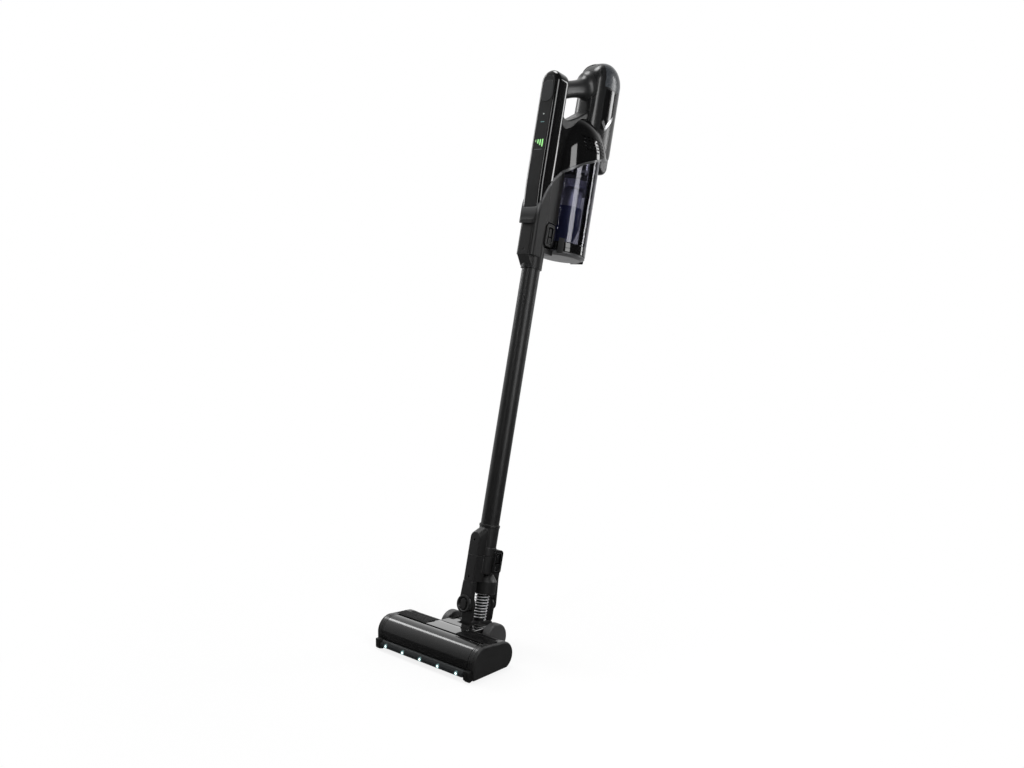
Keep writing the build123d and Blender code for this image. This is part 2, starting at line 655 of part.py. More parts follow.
def wheel_wells():
    x0, x1 = WHEEL_X[0] - 0.7, WHEEL_X[1] + 0.8
    well = cyl_x(0, PIVOT_Z, (x0, x1), WHEEL_R + 1.2)
    return [well, mirror(well, Plane.YZ)]


def make_head_base():
    """Lower shell: sole, rear compartment and the wall of the brush chamber."""
    solid = side_prism(head_outline(), (-COVER_HX, COVER_HX))
    base = solid & box((-130, 130), (-180, 0), (SOLE_Z, 30))
    base -= side_prism(head_outline(), (-130, 130)) & box((-130, 130), (-180, ROLL_Y), (18, 60))
    base -= chamber()
    base -= cyl_x(ROLL_Y, BRUSH_Z, (-130, 130), 6)
    base -= box((-106, 106), (-116, -80), (-5, 12))
    base -= box((-106, -46), (-68, -36), (REAR_Z - MOTOR_R, 60))
    base -= box((46, 106), (-68, -36), (8, 60))
    base -= housing_solid()
    for well in wheel_wells():
        base -= well
    base -= box((BELT_X[0] - 1.5, BELT_X[1] + 1.5), (-90, -30), (8, 60))
    y, z = SOLE_ROLL
    for x in (-85, 85):
        room = SOLE_ROLL_R + GAP
        base -= box((x - 7.2, x + 7.2), (y - room, y + room), (0, z + room))
    return base


def make_roller_cover():
    arc = side_prism(head_outline(), (-COVER_HX, COVER_HX))
    arc -= cyl_x(ROLL_Y, ROLL_Z, (-130, 130), COVER_R - 3)
    keep = box((-130, 130), (-140, -84), (30, 70)) + box((-130, 130), (-140, ROLL_Y - 16), (18, 31))
    return arc & keep


def make_rear_deck(housing):
    deck = side_prism(head_outline(), (-COVER_HX, COVER_HX))
    deck -= side_prism(head_outline(WALL), (-COVER_HX + 1.6, COVER_HX - 1.6))
    deck = deck & box((-130, 130), (-84, 0), (30, 70))
    deck -= cyl_x(ROLL_Y, ROLL_Z, (-130, 130), COVER_R - 3)
    for well in wheel_wells():
        deck -= well
    return deck - housing


def make_end_caps():
    cap = side_prism(head_outline(), (COVER_HX, HEAD_HX))
    cap = fillet(cap.faces().sort_by(Axis.X)[-1].edges(), 4)
    cap -= cyl_x(ROLL_Y, BRUSH_Z, (COVER_HX - 1, COVER_HX + 6), 10)
    return mirrored(cap)


def make_bumpers():
    foot = box(FOOT_X, FOOT_Y, (0.8, 20))
    foot = fillet(foot.edges().filter_by(Axis.Z), 5)
    foot -= side_prism(head_outline(), (90, 130))
    foot -= box((90, 130), (ROLL_Y - COVER_R + 3, -100), (0, 30))
    return mirrored(foot)


def make_led_strip():
    outline = poly((-136.6, 7.8), (-137.2, 9.0), (-136.2, 13.5), (-129, 18.6), (-124, 18.6), (-124, 7.8))
    strip = side_prism(outline, (-STRIP_HX, STRIP_HX))
    strip -= side_prism(head_outline(), (-110, 110))
    for lamp in led_cavities():
        strip -= lamp
    return strip


def led_positions():
    return [LED_PITCH * (i - (LED_COUNT - 1) / 2) for i in range(LED_COUNT)]


def led_cavities():
    return [cyl_y(x, LED_Z, (LED_Y, -125), 2.6) for x in led_positions()]


def make_led_lamps():
    lamps = [cyl_y(x, LED_Z, (LED_Y, -125), 2.6) - side_prism(head_outline(), (x - 5, x + 5))
             for x in led_positions()]
    return group(*lamps)


def make_center_housing():
    """Glossy bridge from the head to the tilt axis, hollow for the air."""
    body = housing_solid() - cyl_x(ROLL_Y, BRUSH_Z, (-60, 60), CHAMBER_R)
    body -= cyl_x(0, PIVOT_Z, (-BARREL_HX - GAP, BARREL_HX + GAP), BARREL_R + GAP)
    body -= box((-BARREL_HX - GAP, BARREL_HX + GAP), (-13, 60), (-5, 70))
    body -= cyl_x(0, PIVOT_Z, (-14, 14), 35)
    body -= box((-20, 20), (-90, -10), (14, 38))
    body -= cyl_x(0, PIVOT_Z, (-70, 70), AXLE_R)
    return body


def make_axle_pins():
    return mirrored(cyl_x(0, PIVOT_Z, (30, 60.5), AXLE_R))


def make_wheel():
    wheel = cyl_x(0, PIVOT_Z, WHEEL_X, WHEEL_R)
    wheel = fillet(wheel.edges().filter_by(GeomType.CIRCLE), 2.0)
    return wheel - cyl_x(0, PIVOT_Z, (40, 60.8), AXLE_R + RUN)


def make_sole_rollers():
    """Two small support rollers behind the brush, on one hidden axle."""
    rollers = [cyl_x(SOLE_ROLL[0], SOLE_ROLL[1], (x - 7, x + 7), SOLE_ROLL_R) for x in (-85, 85)]
    return group(*rollers)


def make_brush_core():
    core = cyl_x(ROLL_Y, BRUSH_Z, (-COVER_HX + 2, COVER_HX - 2), CORE_R)
    core -= cyl_x(ROLL_Y, BRUSH_Z, (BELT_X[0] - 0.5, BELT_X[1] + 0.5), CORE_R + 1)
    core += cyl_x(ROLL_Y, BRUSH_Z, (BELT_X[0] - 1, BELT_X[1] + 1), 10)
    core += cyl_x(ROLL_Y, BRUSH_Z, (-COVER_HX - 4, COVER_HX + 4), 4)
    return core


def make_brush_bristles():
    """Four tufted strips that wind along the core."""
    strips = []
    steps = 12
    x0, x1 = -95.0, COVER_HX - 3
    pitch = (x1 - x0) / steps
    for strip in range(4):
        tufts = None
        for i in range(steps):
            blade = box((0, pitch + 0.2), (-1.4, 1.4), (CORE_R - 0.6, BRUSH_R))
            angle = 90 * strip + 9.0 * i
            tuft = Pos(x0 + pitch * i, ROLL_Y, BRUSH_Z) * Rot(angle, 0, 0) * blade
            tufts = tuft if tufts is None else tufts + tuft
        tufts -= cyl_x(ROLL_Y, BRUSH_Z, (-120, 120), CORE_R)
        strips.append(tufts)
    return group(*strips)


def make_brush_bearings():
    bearing = cyl_x(ROLL_Y, BRUSH_Z, (COVER_HX, COVER_HX + 6), 10) - cyl_x(ROLL_Y, BRUSH_Z, (100, 120), 4 + RUN)
    return mirrored(bearing)


def make_brush_motor():
    motor = cyl_x(REAR_Y, REAR_Z, (-95, -48), MOTOR_R)
    motor -= cyl_x(REAR_Y, REAR_Z, (-92, -51), ROTOR_R + 1.5)
    return motor - cyl_x(REAR_Y, REAR_Z, (-96, -50), 2.5 + RUN)


def make_motor_pulley():
    """Belt pulley on the shaft of the motor's rotor."""
    pulley = cyl_x(REAR_Y, REAR_Z, BELT_X, 5.0)
    rotor = cyl_x(REAR_Y, REAR_Z, (-90, -53), ROTOR_R)
    return pulley + cyl_x(REAR_Y, REAR_Z, (BELT_X[1], -50.5), 2.5) + rotor


def make_drive_belt():
    outer = hull2((ROLL_Y, BRUSH_Z), 11.6, (REAR_Y, REAR_Z), 6.6)
    inner = hull2((ROLL_Y, BRUSH_Z), 10.1, (REAR_Y, REAR_Z), 5.1)
    return side_prism(outer - inner, BELT_X)


# ---- build everything ----------------------------------------------------
def build_handheld():
    solids = {"spine": spine_solid(), "tail": tail_solid(), "hood": hood_solid(0)}
    parts = {
        "spine_shell": make_spine_shell(solids["spine"]),
        "control_panel": make_control_panel(),
        "display_lights": group(*light_slots()),
        "power_button": make_power_button(),
        "control_board": make_control_board(),
        "web_frame": make_web_frame(solids),
        "grip_handle": make_grip_handle(solids),
        "tail_shell": make_tail_shell(solids),
        "tail_windows": make_tail_windows(),
        "charge_socket": make_charge_socket(),
        "motor_hood": make_motor_hood(),
        "arch_trim": make_arch_trim(),
        "connector_housing": make_connector(solids),
        "socket_screw": make_screw(SOCKET_SCREW_Z, CHIN_Y),
        "port_seal": make_port_seal(),
        "wand_latch": make_latch(WAND_LATCH_Z),
        "motor_can": make_motor_can(),
        "motor_fan": make_motor_fan(),
        "motor_mount": make_motor_mount(hood_solid(WALL)),
        "battery_cap": make_battery_cap(solids),
        "battery_case": make_battery_case(),
        "battery_cells": make_battery_cells(),
    }
    return parts


def build_bin():
    return {
        "bin_wall": make_bin_wall(),
        "bin_band": make_bin_band(),
        "bin_flap": make_bin_flap(),
        "flap_pin": make_flap_pin(),
        "flap_latch": make_flap_latch(),
        "cyclone_core": make_cyclone_core(),
        "mesh_screen": make_mesh_screen(),
        "bin_filter": make_bin_filter(),
    }


def build_wand_and_neck():
    return {
        "wand_tube": make_wand_tube(),
        "wand_foot": make_wand_foot(),
        "foot_screw": make_screw(FOOT_SCREW_Z, CASE_Y),
        "neck_body": make_neck_body(),
        "neck_screw": make_screw(NECK_SCREW_Z, CASE_Y),
        "neck_latch": make_latch(NECK_LATCH_Z),
        "bell_skirt": make_bell_skirt(),
        "front_arm": make_front_arm(),
        "steer_pins": make_steer_pins(),
        "hose_liner": make_hose_liner(),
        "hose_spring": make_hose_spring(),
        "yoke": make_yoke(),
    }


def build_head():
    housing = housing_solid()
    wheel = make_wheel()
    return {
        "head_base": make_head_base(),
        "roller_cover": make_roller_cover(),
        "rear_deck": make_rear_deck(housing),
        "end_caps": make_end_caps(),
        "bumpers": make_bumpers(),
        "led_strip": make_led_strip(),
        "led_lamps": make_led_lamps(),
        "center_housing": make_center_housing(),
        "axle_pins": make_axle_pins(),
        "wheel_right": wheel,
        "wheel_left": mirror(wheel, Plane.YZ),
        "sole_rollers": make_sole_rollers(),
        "brush_core": make_brush_core(),
        "brush_bristles": make_brush_bristles(),
        "brush_bearings": make_brush_bearings(),
        "brush_motor": make_brush_motor(),
        "motor_pulley": make_motor_pulley(),
        "drive_belt": make_drive_belt(),
    }


def main():
    os.makedirs("parts", exist_ok=True)
    leaning = {}
    for build in (build_handheld, build_bin, build_wand_and_neck):
        leaning.update(build())
    for name, shape in leaning.items():
        export_step(wand(shape), "parts/%s.step" % name)
    for name, shape in build_head().items():
        export_step(shape, "parts/%s.step" % name)


main()
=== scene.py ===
"""A cordless stick vacuum on a pale floor: floor head, neck, wand and handheld unit."""
import json
from math import acos, atan2, cos, hypot, pi, radians, sin

import bmesh
import bpy
from mathutils import Matrix, Vector


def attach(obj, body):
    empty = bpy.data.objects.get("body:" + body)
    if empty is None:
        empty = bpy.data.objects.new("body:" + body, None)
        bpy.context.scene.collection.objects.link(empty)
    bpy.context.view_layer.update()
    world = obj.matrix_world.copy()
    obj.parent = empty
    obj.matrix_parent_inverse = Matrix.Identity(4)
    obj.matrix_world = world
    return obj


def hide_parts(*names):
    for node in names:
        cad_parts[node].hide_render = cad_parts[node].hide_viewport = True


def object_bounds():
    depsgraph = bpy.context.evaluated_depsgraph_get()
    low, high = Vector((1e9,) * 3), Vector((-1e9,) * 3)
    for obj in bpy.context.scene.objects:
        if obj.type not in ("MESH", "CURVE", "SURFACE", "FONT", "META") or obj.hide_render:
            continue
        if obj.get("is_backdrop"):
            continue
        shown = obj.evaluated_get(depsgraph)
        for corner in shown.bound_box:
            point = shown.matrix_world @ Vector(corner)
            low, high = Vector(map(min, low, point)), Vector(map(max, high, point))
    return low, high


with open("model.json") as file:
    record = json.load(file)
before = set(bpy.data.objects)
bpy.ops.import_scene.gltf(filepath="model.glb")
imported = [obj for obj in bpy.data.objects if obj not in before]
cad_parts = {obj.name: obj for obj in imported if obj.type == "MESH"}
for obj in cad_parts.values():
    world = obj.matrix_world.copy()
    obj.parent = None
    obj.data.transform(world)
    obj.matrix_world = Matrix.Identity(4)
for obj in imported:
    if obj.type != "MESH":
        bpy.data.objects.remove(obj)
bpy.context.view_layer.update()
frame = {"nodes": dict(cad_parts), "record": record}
joints = {j["name"]: j for j in frame["record"]["behaviour"]["joints"]}


# ---- Camera ----------------------------------------------------------------
# A studio camera off the right front corner of the floor head, level with
# the upper part of the wand and tipped slightly down.
azimuth, elevation = radians(42.0), radians(7.7)
from_tilt_axle = Vector((1.31664, -1.35261, 0.72030))
camera_data = bpy.data.cameras.new("camera")
camera_data.sensor_width = 36.0
camera_data.lens = 36.91
camera = bpy.data.objects.new("camera", camera_data)
bpy.context.collection.objects.link(camera)
camera.location = Vector(joints["tilt"]["pos_m"]) + from_tilt_axle
looking = Vector((-sin(azimuth) * cos(elevation), cos(azimuth) * cos(elevation), -sin(elevation)))
camera.rotation_euler = looking.to_track_quat("-Z", "Y").to_euler()
bpy.context.scene.camera = camera
bpy.context.scene.view_settings.view_transform = "Standard"


# ---- Floor and light -------------------------------------------------------
# A plain pale studio floor. The far side of the studio is white and the near
# side is dim, so glossy black mouldings stay black and catch bright rims.
def node(tree, kind, place=(0, 0), feeds=None, **values):
    """Add a shader node, set its attributes and feed its inputs with values or outputs."""
    made = tree.nodes.new(kind)
    made.location = place
    for key, value in values.items():
        setattr(made, key, value)
    for key, source in (feeds or {}).items():
        if isinstance(source, bpy.types.NodeSocket):
            tree.links.new(source, made.inputs[key])
        else:
            made.inputs[key].default_value = source
    return made


def ranged(tree, source, span, result=(0.0, 1.0), place=(0, 0), curve="LINEAR"):
    """Turn one span of values into another, held at both ends."""
    feeds = {"Value": source, "From Min": span[0], "From Max": span[1],
             "To Min": result[0], "To Max": result[1]}
    made = node(tree, "ShaderNodeMapRange", place, feeds, interpolation_type=curve)
    return made.outputs["Result"]


def worked(tree, operation, first, second, place=(0, 0)):
    """Result of one sum on two numbers or outputs."""
    return node(tree, "ShaderNodeMath", place, {0: first, 1: second}, operation=operation).outputs[0]


def object_place(tree, place=(-900, 0)):
    """Position on the object."""
    return node(tree, "ShaderNodeTexCoord", place).outputs["Object"]


def new_material(name):
    """Empty material and its node tree."""
    material = bpy.data.materials.new(name)
    material.use_nodes = True
    material.node_tree.nodes.clear()
    return material, material.node_tree


floor_size = 9.0
bm = bmesh.new()
bmesh.ops.create_grid(bm, x_segments=12, y_segments=12, size=floor_size)
floor_mesh = bpy.data.meshes.new("floor")
bm.to_mesh(floor_mesh)
bm.free()
floor = bpy.data.objects.new("floor", floor_mesh)
bpy.context.collection.objects.link(floor)
floor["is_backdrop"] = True
floor_paint, tree = new_material("pale_floor")
spot = object_place(tree)
rays = node(tree, "ShaderNodeLightPath", (-500, 300))
away = node(tree, "ShaderNodeVectorMath", (-600, 0), {0: spot}, operation="LENGTH")
toward = node(tree, "ShaderNodeVectorMath", (-600, -200), {0: spot, 1: (-0.85, 0.5, 0.0)},
              operation="DOT_PRODUCT")
fade = ranged(tree, away.outputs["Value"], (0.12, 0.85), (0.84, 1.0), (-300, 100), "SMOOTHSTEP")
far = ranged(tree, toward.outputs["Value"], (-0.2, 1.6), (0.045, 0.9), (-300, -200), "SMOOTHSTEP")
power = worked(tree, "MAXIMUM", far, rays.outputs["Is Camera Ray"], (0, -200))
share = worked(tree, "MULTIPLY", fade, rays.outputs["Is Camera Ray"], (0, 200))
either = worked(tree, "MAXIMUM", share, rays.outputs["Is Glossy Ray"], (250, 200))
matt = node(tree, "ShaderNodeBsdfDiffuse", (450, 100), {"Color": (0.93, 0.93, 0.93, 1)})
shining = node(tree, "ShaderNodeEmission", (450, -100), {"Strength": power})
mix = node(tree, "ShaderNodeMixShader", (700, 0), {0: either, 1: matt.outputs[0], 2: shining.outputs[0]})
node(tree, "ShaderNodeOutputMaterial", (900, 0), {"Surface": mix.outputs[0]})
floor_mesh.materials.append(floor_paint)

world = bpy.data.worlds.new("studio")
bpy.context.scene.world = world
world.use_nodes = True
tree = world.node_tree
tree.nodes.clear()
rays = node(tree, "ShaderNodeLightPath", (0, 300))
either = worked(tree, "MAXIMUM", rays.outputs["Is Camera Ray"], rays.outputs["Is Transmission Ray"],
                (250, 300))
place = node(tree, "ShaderNodeTexCoord", (-600, -100))
toward = node(tree, "ShaderNodeVectorMath", (-400, -100),
              {0: place.outputs["Generated"], 1: (-0.85, 0.5, 0.15)}, operation="DOT_PRODUCT")
fade = ranged(tree, toward.outputs["Value"], (-0.1, 0.75), (0.035, 0.95), (-200, -100), "SMOOTHSTEP")
room = node(tree, "ShaderNodeBackground", (450, -100), {"Color": fade})
shown = node(tree, "ShaderNodeBackground", (450, 100), {"Color": (1, 1, 1, 1)})
mix = node(tree, "ShaderNodeMixShader", (700, 0), {0: either, 1: room.outputs[0], 2: shown.outputs[0]})
node(tree, "ShaderNodeOutputWorld", (900, 0), {"Surface": mix.outputs[0]})


def softbox(name, at, aim, width, height, power):
    """Rectangular studio lamp facing a point."""
    data = bpy.data.lights.new(name, "AREA")
    data.shape = "RECTANGLE"
    data.size, data.size_y = width, height
    data.energy = power
    lamp = bpy.data.objects.new(name, data)
    bpy.context.collection.objects.link(lamp)
    lamp.location = at
    lamp.rotation_euler = (Vector(aim) - Vector(at)).to_track_quat("-Z", "Y").to_euler()
    lamp.visible_camera = False


softbox("left_box", (-1.15, 0.02, 1.36), (0, 0.25, 1.0), 0.32, 0.95, 7)
softbox("right_box", (1.2, -0.16, 1.05), (0, 0.2, 0.8), 0.46, 1.3, 11)
softbox("front_box", (0.13, -1.25, 1.4), (0, 0.25, 1.0), 0.2, 0.9, 3.6)
softbox("side_box", (0.95, 1.85, 1.0), (0, 0.25, 0.85), 0.3, 1.3, 9)
softbox("top_box", (-0.3, 0.3, 2.6), (0, 0.15, 0.6), 0.8, 0.8, 20)


# ---- Shared finish effects -------------------------------------------------
# Moulded plastic is never even: it has a fine spark grain and slow changes of
# shade and gloss. Its edges carry a painted highlight, lighter in patches.
def new_group(name, inputs, outputs):
    """Node group with float or colour sockets."""
    group = bpy.data.node_groups.new(name, "ShaderNodeTree")
    kinds = {"value": "NodeSocketFloat", "colour": "NodeSocketColor", "vector": "NodeSocketVector"}
    for label, kind, default in inputs:
        socket = group.interface.new_socket(label, in_out="INPUT", socket_type=kinds[kind])
        socket.default_value = default
    for label, kind in outputs:
        group.interface.new_socket(label, in_out="OUTPUT", socket_type=kinds[kind])
    return group, node(group, "NodeGroupInput", (-1400, 0)), node(group, "NodeGroupOutput", (800, 0))


moulded, given, result = new_group(
    "moulded_surface",
    [("Base", "colour", (0.05, 0.05, 0.05, 1)), ("Highlight colour", "colour", (0.1, 0.1, 0.1, 1)),
     ("Rough", "value", 0.5), ("Grain size", "value", 1400.0), ("Grain depth", "value", 0.2),
     ("Highlight share", "value", 0.5), ("Round", "value", 0.0005)],
    [("Color", "colour"), ("Roughness", "value"), ("Normal", "vector")])
spot = object_place(moulded, (-1400, 300))
grain = node(moulded, "ShaderNodeTexNoise", (-1000, -200),
             {"Vector": spot, "Scale": given.outputs["Grain size"], "Detail": 2.0})
slow = node(moulded, "ShaderNodeTexNoise", (-1000, 200), {"Vector": spot, "Scale": 17.0, "Detail": 5.0})
smear = node(moulded, "ShaderNodeTexNoise", (-1000, 450),
             {"Vector": spot, "Scale": 60.0, "Detail": 1.5, "Distortion": 1.5})
soft_edge = node(moulded, "ShaderNodeBevel", (-1000, -500), {"Radius": given.outputs["Round"]}, samples=4)
bump = node(moulded, "ShaderNodeBump", (300, -400),
            {"Distance": 0.0002, "Strength": given.outputs["Grain depth"],
             "Height": grain.outputs["Fac"], "Normal": soft_edge.outputs[0]})
flat = node(moulded, "ShaderNodeNewGeometry", (-1000, -700))
turn = node(moulded, "ShaderNodeVectorMath", (-800, -600),
            {0: soft_edge.outputs[0], 1: flat.outputs["Normal"]}, operation="DOT_PRODUCT")
# Painted highlight: where the rounded normal turns from the face, the edge takes the highlight colour in
# patches.
edge = ranged(moulded, turn.outputs["Value"], (0.995, 0.86), place=(-600, -600))
broken = ranged(moulded, smear.outputs["Fac"], (0.38, 0.62), place=(-600, 450))
highlight_patches = worked(moulded, "MULTIPLY", edge, broken, (-400, -400))
highlight_mask = worked(moulded, "MULTIPLY", highlight_patches, given.outputs["Highlight share"], (-200, -400))
shade = ranged(moulded, slow.outputs["Fac"], (0.3, 0.7), (0.82, 1.15), (-600, 200))
tint = node(moulded, "ShaderNodeVectorMath", (-300, 200), {0: given.outputs["Base"], "Scale": shade},
            operation="SCALE")
highlighted = node(moulded, "ShaderNodeMix", (100, 200),
           {"Factor": highlight_mask, "A": tint.outputs[0], "B": given.outputs["Highlight colour"]}, data_type="RGBA")
gloss = ranged(moulded, smear.outputs["Fac"], (0.25, 0.75), (0.96, 1.05), (-300, 500))
even = worked(moulded, "MULTIPLY", gloss, given.outputs["Rough"], (0, 500))
moulded.links.new(highlighted.outputs["Result"], result.inputs["Color"])
moulded.links.new(even, result.inputs["Roughness"])
moulded.links.new(bump.outputs[0], result.inputs["Normal"])


# highlight_colour and highlight_share set a painted highlight along the edges.
def moulding(name, base, highlight_colour, rough, grain_size=1500.0, grain_depth=0.25, highlight_share=0.5,
             rounding=0.0001, metal=0.0, coat=0.0, ior=1.46):
    """Material of a moulded, painted or coated piece."""
    material, tree = new_material(name)
    finish = node(tree, "ShaderNodeGroup", (-200, 0), {
        "Base": (*base, 1), "Highlight colour": (*highlight_colour, 1), "Rough": rough, "Grain size": grain_size,
        "Grain depth": grain_depth, "Highlight share": highlight_share, "Round": rounding}, node_tree=moulded)
    skin = node(tree, "ShaderNodeBsdfPrincipled", (200, 0), {
        "Base Color": finish.outputs["Color"], "Roughness": finish.outputs["Roughness"],
        "Normal": finish.outputs["Normal"], "Metallic": metal, "IOR": ior,
        "Coat Weight": coat, "Coat Roughness": 0.08})
    node(tree, "ShaderNodeOutputMaterial", (500, 0), {"Surface": skin.outputs[0]})
    return material


def paint(material, *nodes):
    """Give CAD nodes a material in place of their plain one."""
    for name in nodes:
        slots = frame["nodes"][name].data.materials
        slots.clear()
        slots.append(material)


# ---- Roller cover ----------------------------------------------------------
# Half-round black cover over the brush, moulded in one skin and clipped to
# the base. Its lower lip hangs just above the lamp strip.
MM = 0.001
lean_axis = joints["battery_lift"]["axis"]
lean_turn = Matrix.Rotation(-atan2(lean_axis[1], lean_axis[2]), 4, "X")
lean = Matrix.Translation(joints["tilt"]["pos_m"]) @ lean_turn


def even_normals(obj):
    """Let large flat faces keep their own shading beside small rounded edges."""
    even = obj.modifiers.new("even_normals", "WEIGHTED_NORMAL")
    even.mode = "FACE_AREA"
    even.keep_sharp = True


plain_crease = 34


def piece(name, bm, body, material, stands_for=(), leaning=False, crease=plain_crease):
    """Make a mesh drawn in millimetres into a shown piece that rides on a body."""
    bmesh.ops.scale(bm, vec=(MM, MM, MM), verts=bm.verts)
    if leaning:
        bmesh.ops.transform(bm, matrix=lean, verts=bm.verts)
    bmesh.ops.recalc_face_normals(bm, faces=bm.faces)
    for face in bm.faces:
        face.smooth = True
    for line in bm.edges:
        line.smooth = len(line.link_faces) != 2 or line.calc_face_angle(0) < radians(crease)
    mesh = bpy.data.meshes.new(name)
    bm.to_mesh(mesh)
    bm.free()
    obj = bpy.data.objects.new(name, mesh)
    bpy.context.collection.objects.link(obj)
    mesh.materials.append(material)
    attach(obj, body)
    if stands_for:
        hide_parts(*stands_for)
    even_normals(obj)
    return obj


def add(bm, *others):
    """Put other meshes into bm."""
    for other in others:
        carrier = bpy.data.meshes.new("carrier")
        other.to_mesh(carrier)
        other.free()
        bm.from_mesh(carrier)
        bpy.data.meshes.remove(carrier)
    return bm


def placed(axis, h, a, b):
    """Point at h along an axis and (a, b) across it."""
    return {"X": (h, a, b), "Y": (a, h, b), "Z": (a, b, h)}[axis]


def slab(outline, low, high, axis="X"):
    """Closed outline extruded between two levels along an axis."""
    bm = bmesh.new()
    face = bm.faces.new([bm.verts.new(placed(axis, low, a, b)) for a, b in outline])
    made = bmesh.ops.extrude_face_region(bm, geom=[face])
    moved = [g for g in made["geom"] if isinstance(g, bmesh.types.BMVert)]
    bmesh.ops.translate(bm, vec=Vector(placed(axis, 1, 0, 0)) * (high - low), verts=moved)
    bmesh.ops.recalc_face_normals(bm, faces=bm.faces)
    return bm


def box(a_span, b_span, low, high, axis="X"):
    """Square-cornered block between two levels along an axis."""
    (a0, a1), (b0, b1) = a_span, b_span
    return slab([(a0, b0), (a1, b0), (a1, b1), (a0, b1)], low, high, axis)


def soften(bm, width, segments=3, over=30, where=None):
    """Round every edge sharper than a given angle."""
    sharp = [e for e in bm.edges
             if len(e.link_faces) == 2 and e.calc_face_angle(0) > radians(over)
             and (where is None or where((e.verts[0].co + e.verts[1].co) / 2))]
    bmesh.ops.bevel(bm, geom=sharp, offset=width, segments=segments, profile=0.5,
                    affect="EDGES", clamp_overlap=True)
    return bm


def lathe(profile, centre=(0, 0, 0), axis="Z", steps=72):
    """Spin a (radius, height) profile about an axis through centre."""
    bm = bmesh.new()
    row = [bm.verts.new((r, 0, h)) for r, h in profile]
    lines = [bm.edges.new(pair) for pair in zip(row, row[1:])]
    if profile[0][0] > 0 and profile[-1][0] > 0:
        lines.append(bm.edges.new((row[-1], row[0])))
    bmesh.ops.spin(bm, geom=row + lines, cent=(0, 0, 0), axis=(0, 0, 1), dvec=(0, 0, 0),
                   angle=2 * pi, steps=steps, use_merge=True)
    bmesh.ops.remove_doubles(bm, verts=bm.verts, dist=0.0005)
    turned = {"Z": Matrix.Identity(4), "X": Matrix.Rotation(pi / 2, 4, "Y"),
              "Y": Matrix.Rotation(-pi / 2, 4, "X")}[axis]
    bmesh.ops.transform(bm, matrix=Matrix.Translation(centre) @ turned, verts=bm.verts)
    bmesh.ops.recalc_face_normals(bm, faces=bm.faces)
    return bm


def rod(r, low, high, centre, axis, steps):
    """Plain round bar between two levels along an axis."""
    return lathe([(0, low), (r, low), (r, high), (0, high)], centre, axis, steps)


def wrap(a, ra, b, rb, steps=24):
    """Outline round two circles, joined by their outer tangents."""
    dist = hypot(b[0] - a[0], b[1] - a[1])
    head = atan2(b[1] - a[1], b[0] - a[0])
    spread = acos((ra - rb) / dist)
    points = []
    ends = ((a, ra, head + spread, head + 2 * pi - spread), (b, rb, head - spread, head + spread))
    for (cx, cy), r, start, stop in ends:
        for i in range(steps + 1):
            t = start + (stop - start) * i / steps
            points.append((cx + r * cos(t), cy + r * sin(t)))
    return points


def clipped(outline, floor_level):
    """Outline with everything below a level laid flat on it."""
    return [(a, max(b, floor_level)) for a, b in outline]


def arc(centre, r, start, stop, steps):
    """Points on an arc, angles in degrees."""
    turns = [radians(start + (stop - start) * i / steps) for i in range(steps + 1)]
    return [(centre[0] + r * cos(t), centre[1] + r * sin(t)) for t in turns]


roll_y, roll_z = -98.0, 28.0
cover_r, cover_half = 28.4, 109.7
cover_black = moulding("cover_black", (0.006, 0.006, 0.0062), (0.03, 0.03, 0.03), rough=0.16,
                       grain_size=1300, grain_depth=0.01, highlight_share=0.5, coat=0.3)
skin_line = arc((roll_y, roll_z), cover_r - 0.1, 60.5, 180, 44)
lip = [(-126.3, 19.2), (-125.9, 18.3), (-125.0, 18.0), (-124.0, 18.5)]
inner_line = arc((roll_y, roll_z), cover_r - 2.9, 180, 60.5, 44)
cover = slab(skin_line + lip + inner_line, -cover_half, cover_half)
soften(cover, 0.7, 2, 50)
piece("roller_skin", cover, "floor_head", cover_black, ["roller_cover"])


# ---- End caps --------------------------------------------------------------
# Matt side caps that carry the brush bearings. A satin ring with a fine
# groove lies between each cap and the cover.
rear_y, rear_z, rear_r = -52.0, 26.0, 25.5
cap_matt = moulding("cap_matt", (0.013, 0.013, 0.0132), (0.045, 0.045, 0.045), rough=0.5,
                    grain_size=1500, grain_depth=0.3, highlight_share=0.8)
ring_satin = moulding("ring_satin", (0.011, 0.011, 0.0112), (0.05, 0.05, 0.05), rough=0.28,
                      grain_size=1300, grain_depth=0.1, highlight_share=0.6)


def head_line(inset, floor_level=3.0):
    """Side outline of the floor head with its upright nose, moved inwards by inset."""
    nose = roll_y - cover_r + inset
    line = wrap((roll_y, roll_z), cover_r - inset, (rear_y, rear_z), rear_r - inset, 40)
    flat_nosed = [(nose if a < roll_y - 1 and b < roll_z else a, b) for a, b in line]
    return clipped(flat_nosed, floor_level + 0.4 * inset)


def join_rows(bm, rows):
    """Faces from each ring of points to the next."""
    for row, following in zip(rows, rows[1:]):
        for i in range(len(row)):
            j = (i + 1) % len(row)
            bm.faces.new((row[i], row[j], following[j], following[i]))


def stacked(sections, side=1, axis="X"):
    """Skin stretched over outlines given as (level, outline), closed at both ends."""
    bm = bmesh.new()
    rows = [[bm.verts.new(placed(axis, side * h, a, b)) for a, b in line] for h, line in sections]
    join_rows(bm, rows)
    bm.faces.new(rows[0])
    bm.faces.new(rows[-1])
    bmesh.ops.remove_doubles(bm, verts=bm.verts, dist=0.0005)
    bmesh.ops.recalc_face_normals(bm, faces=bm.faces)
    return bm


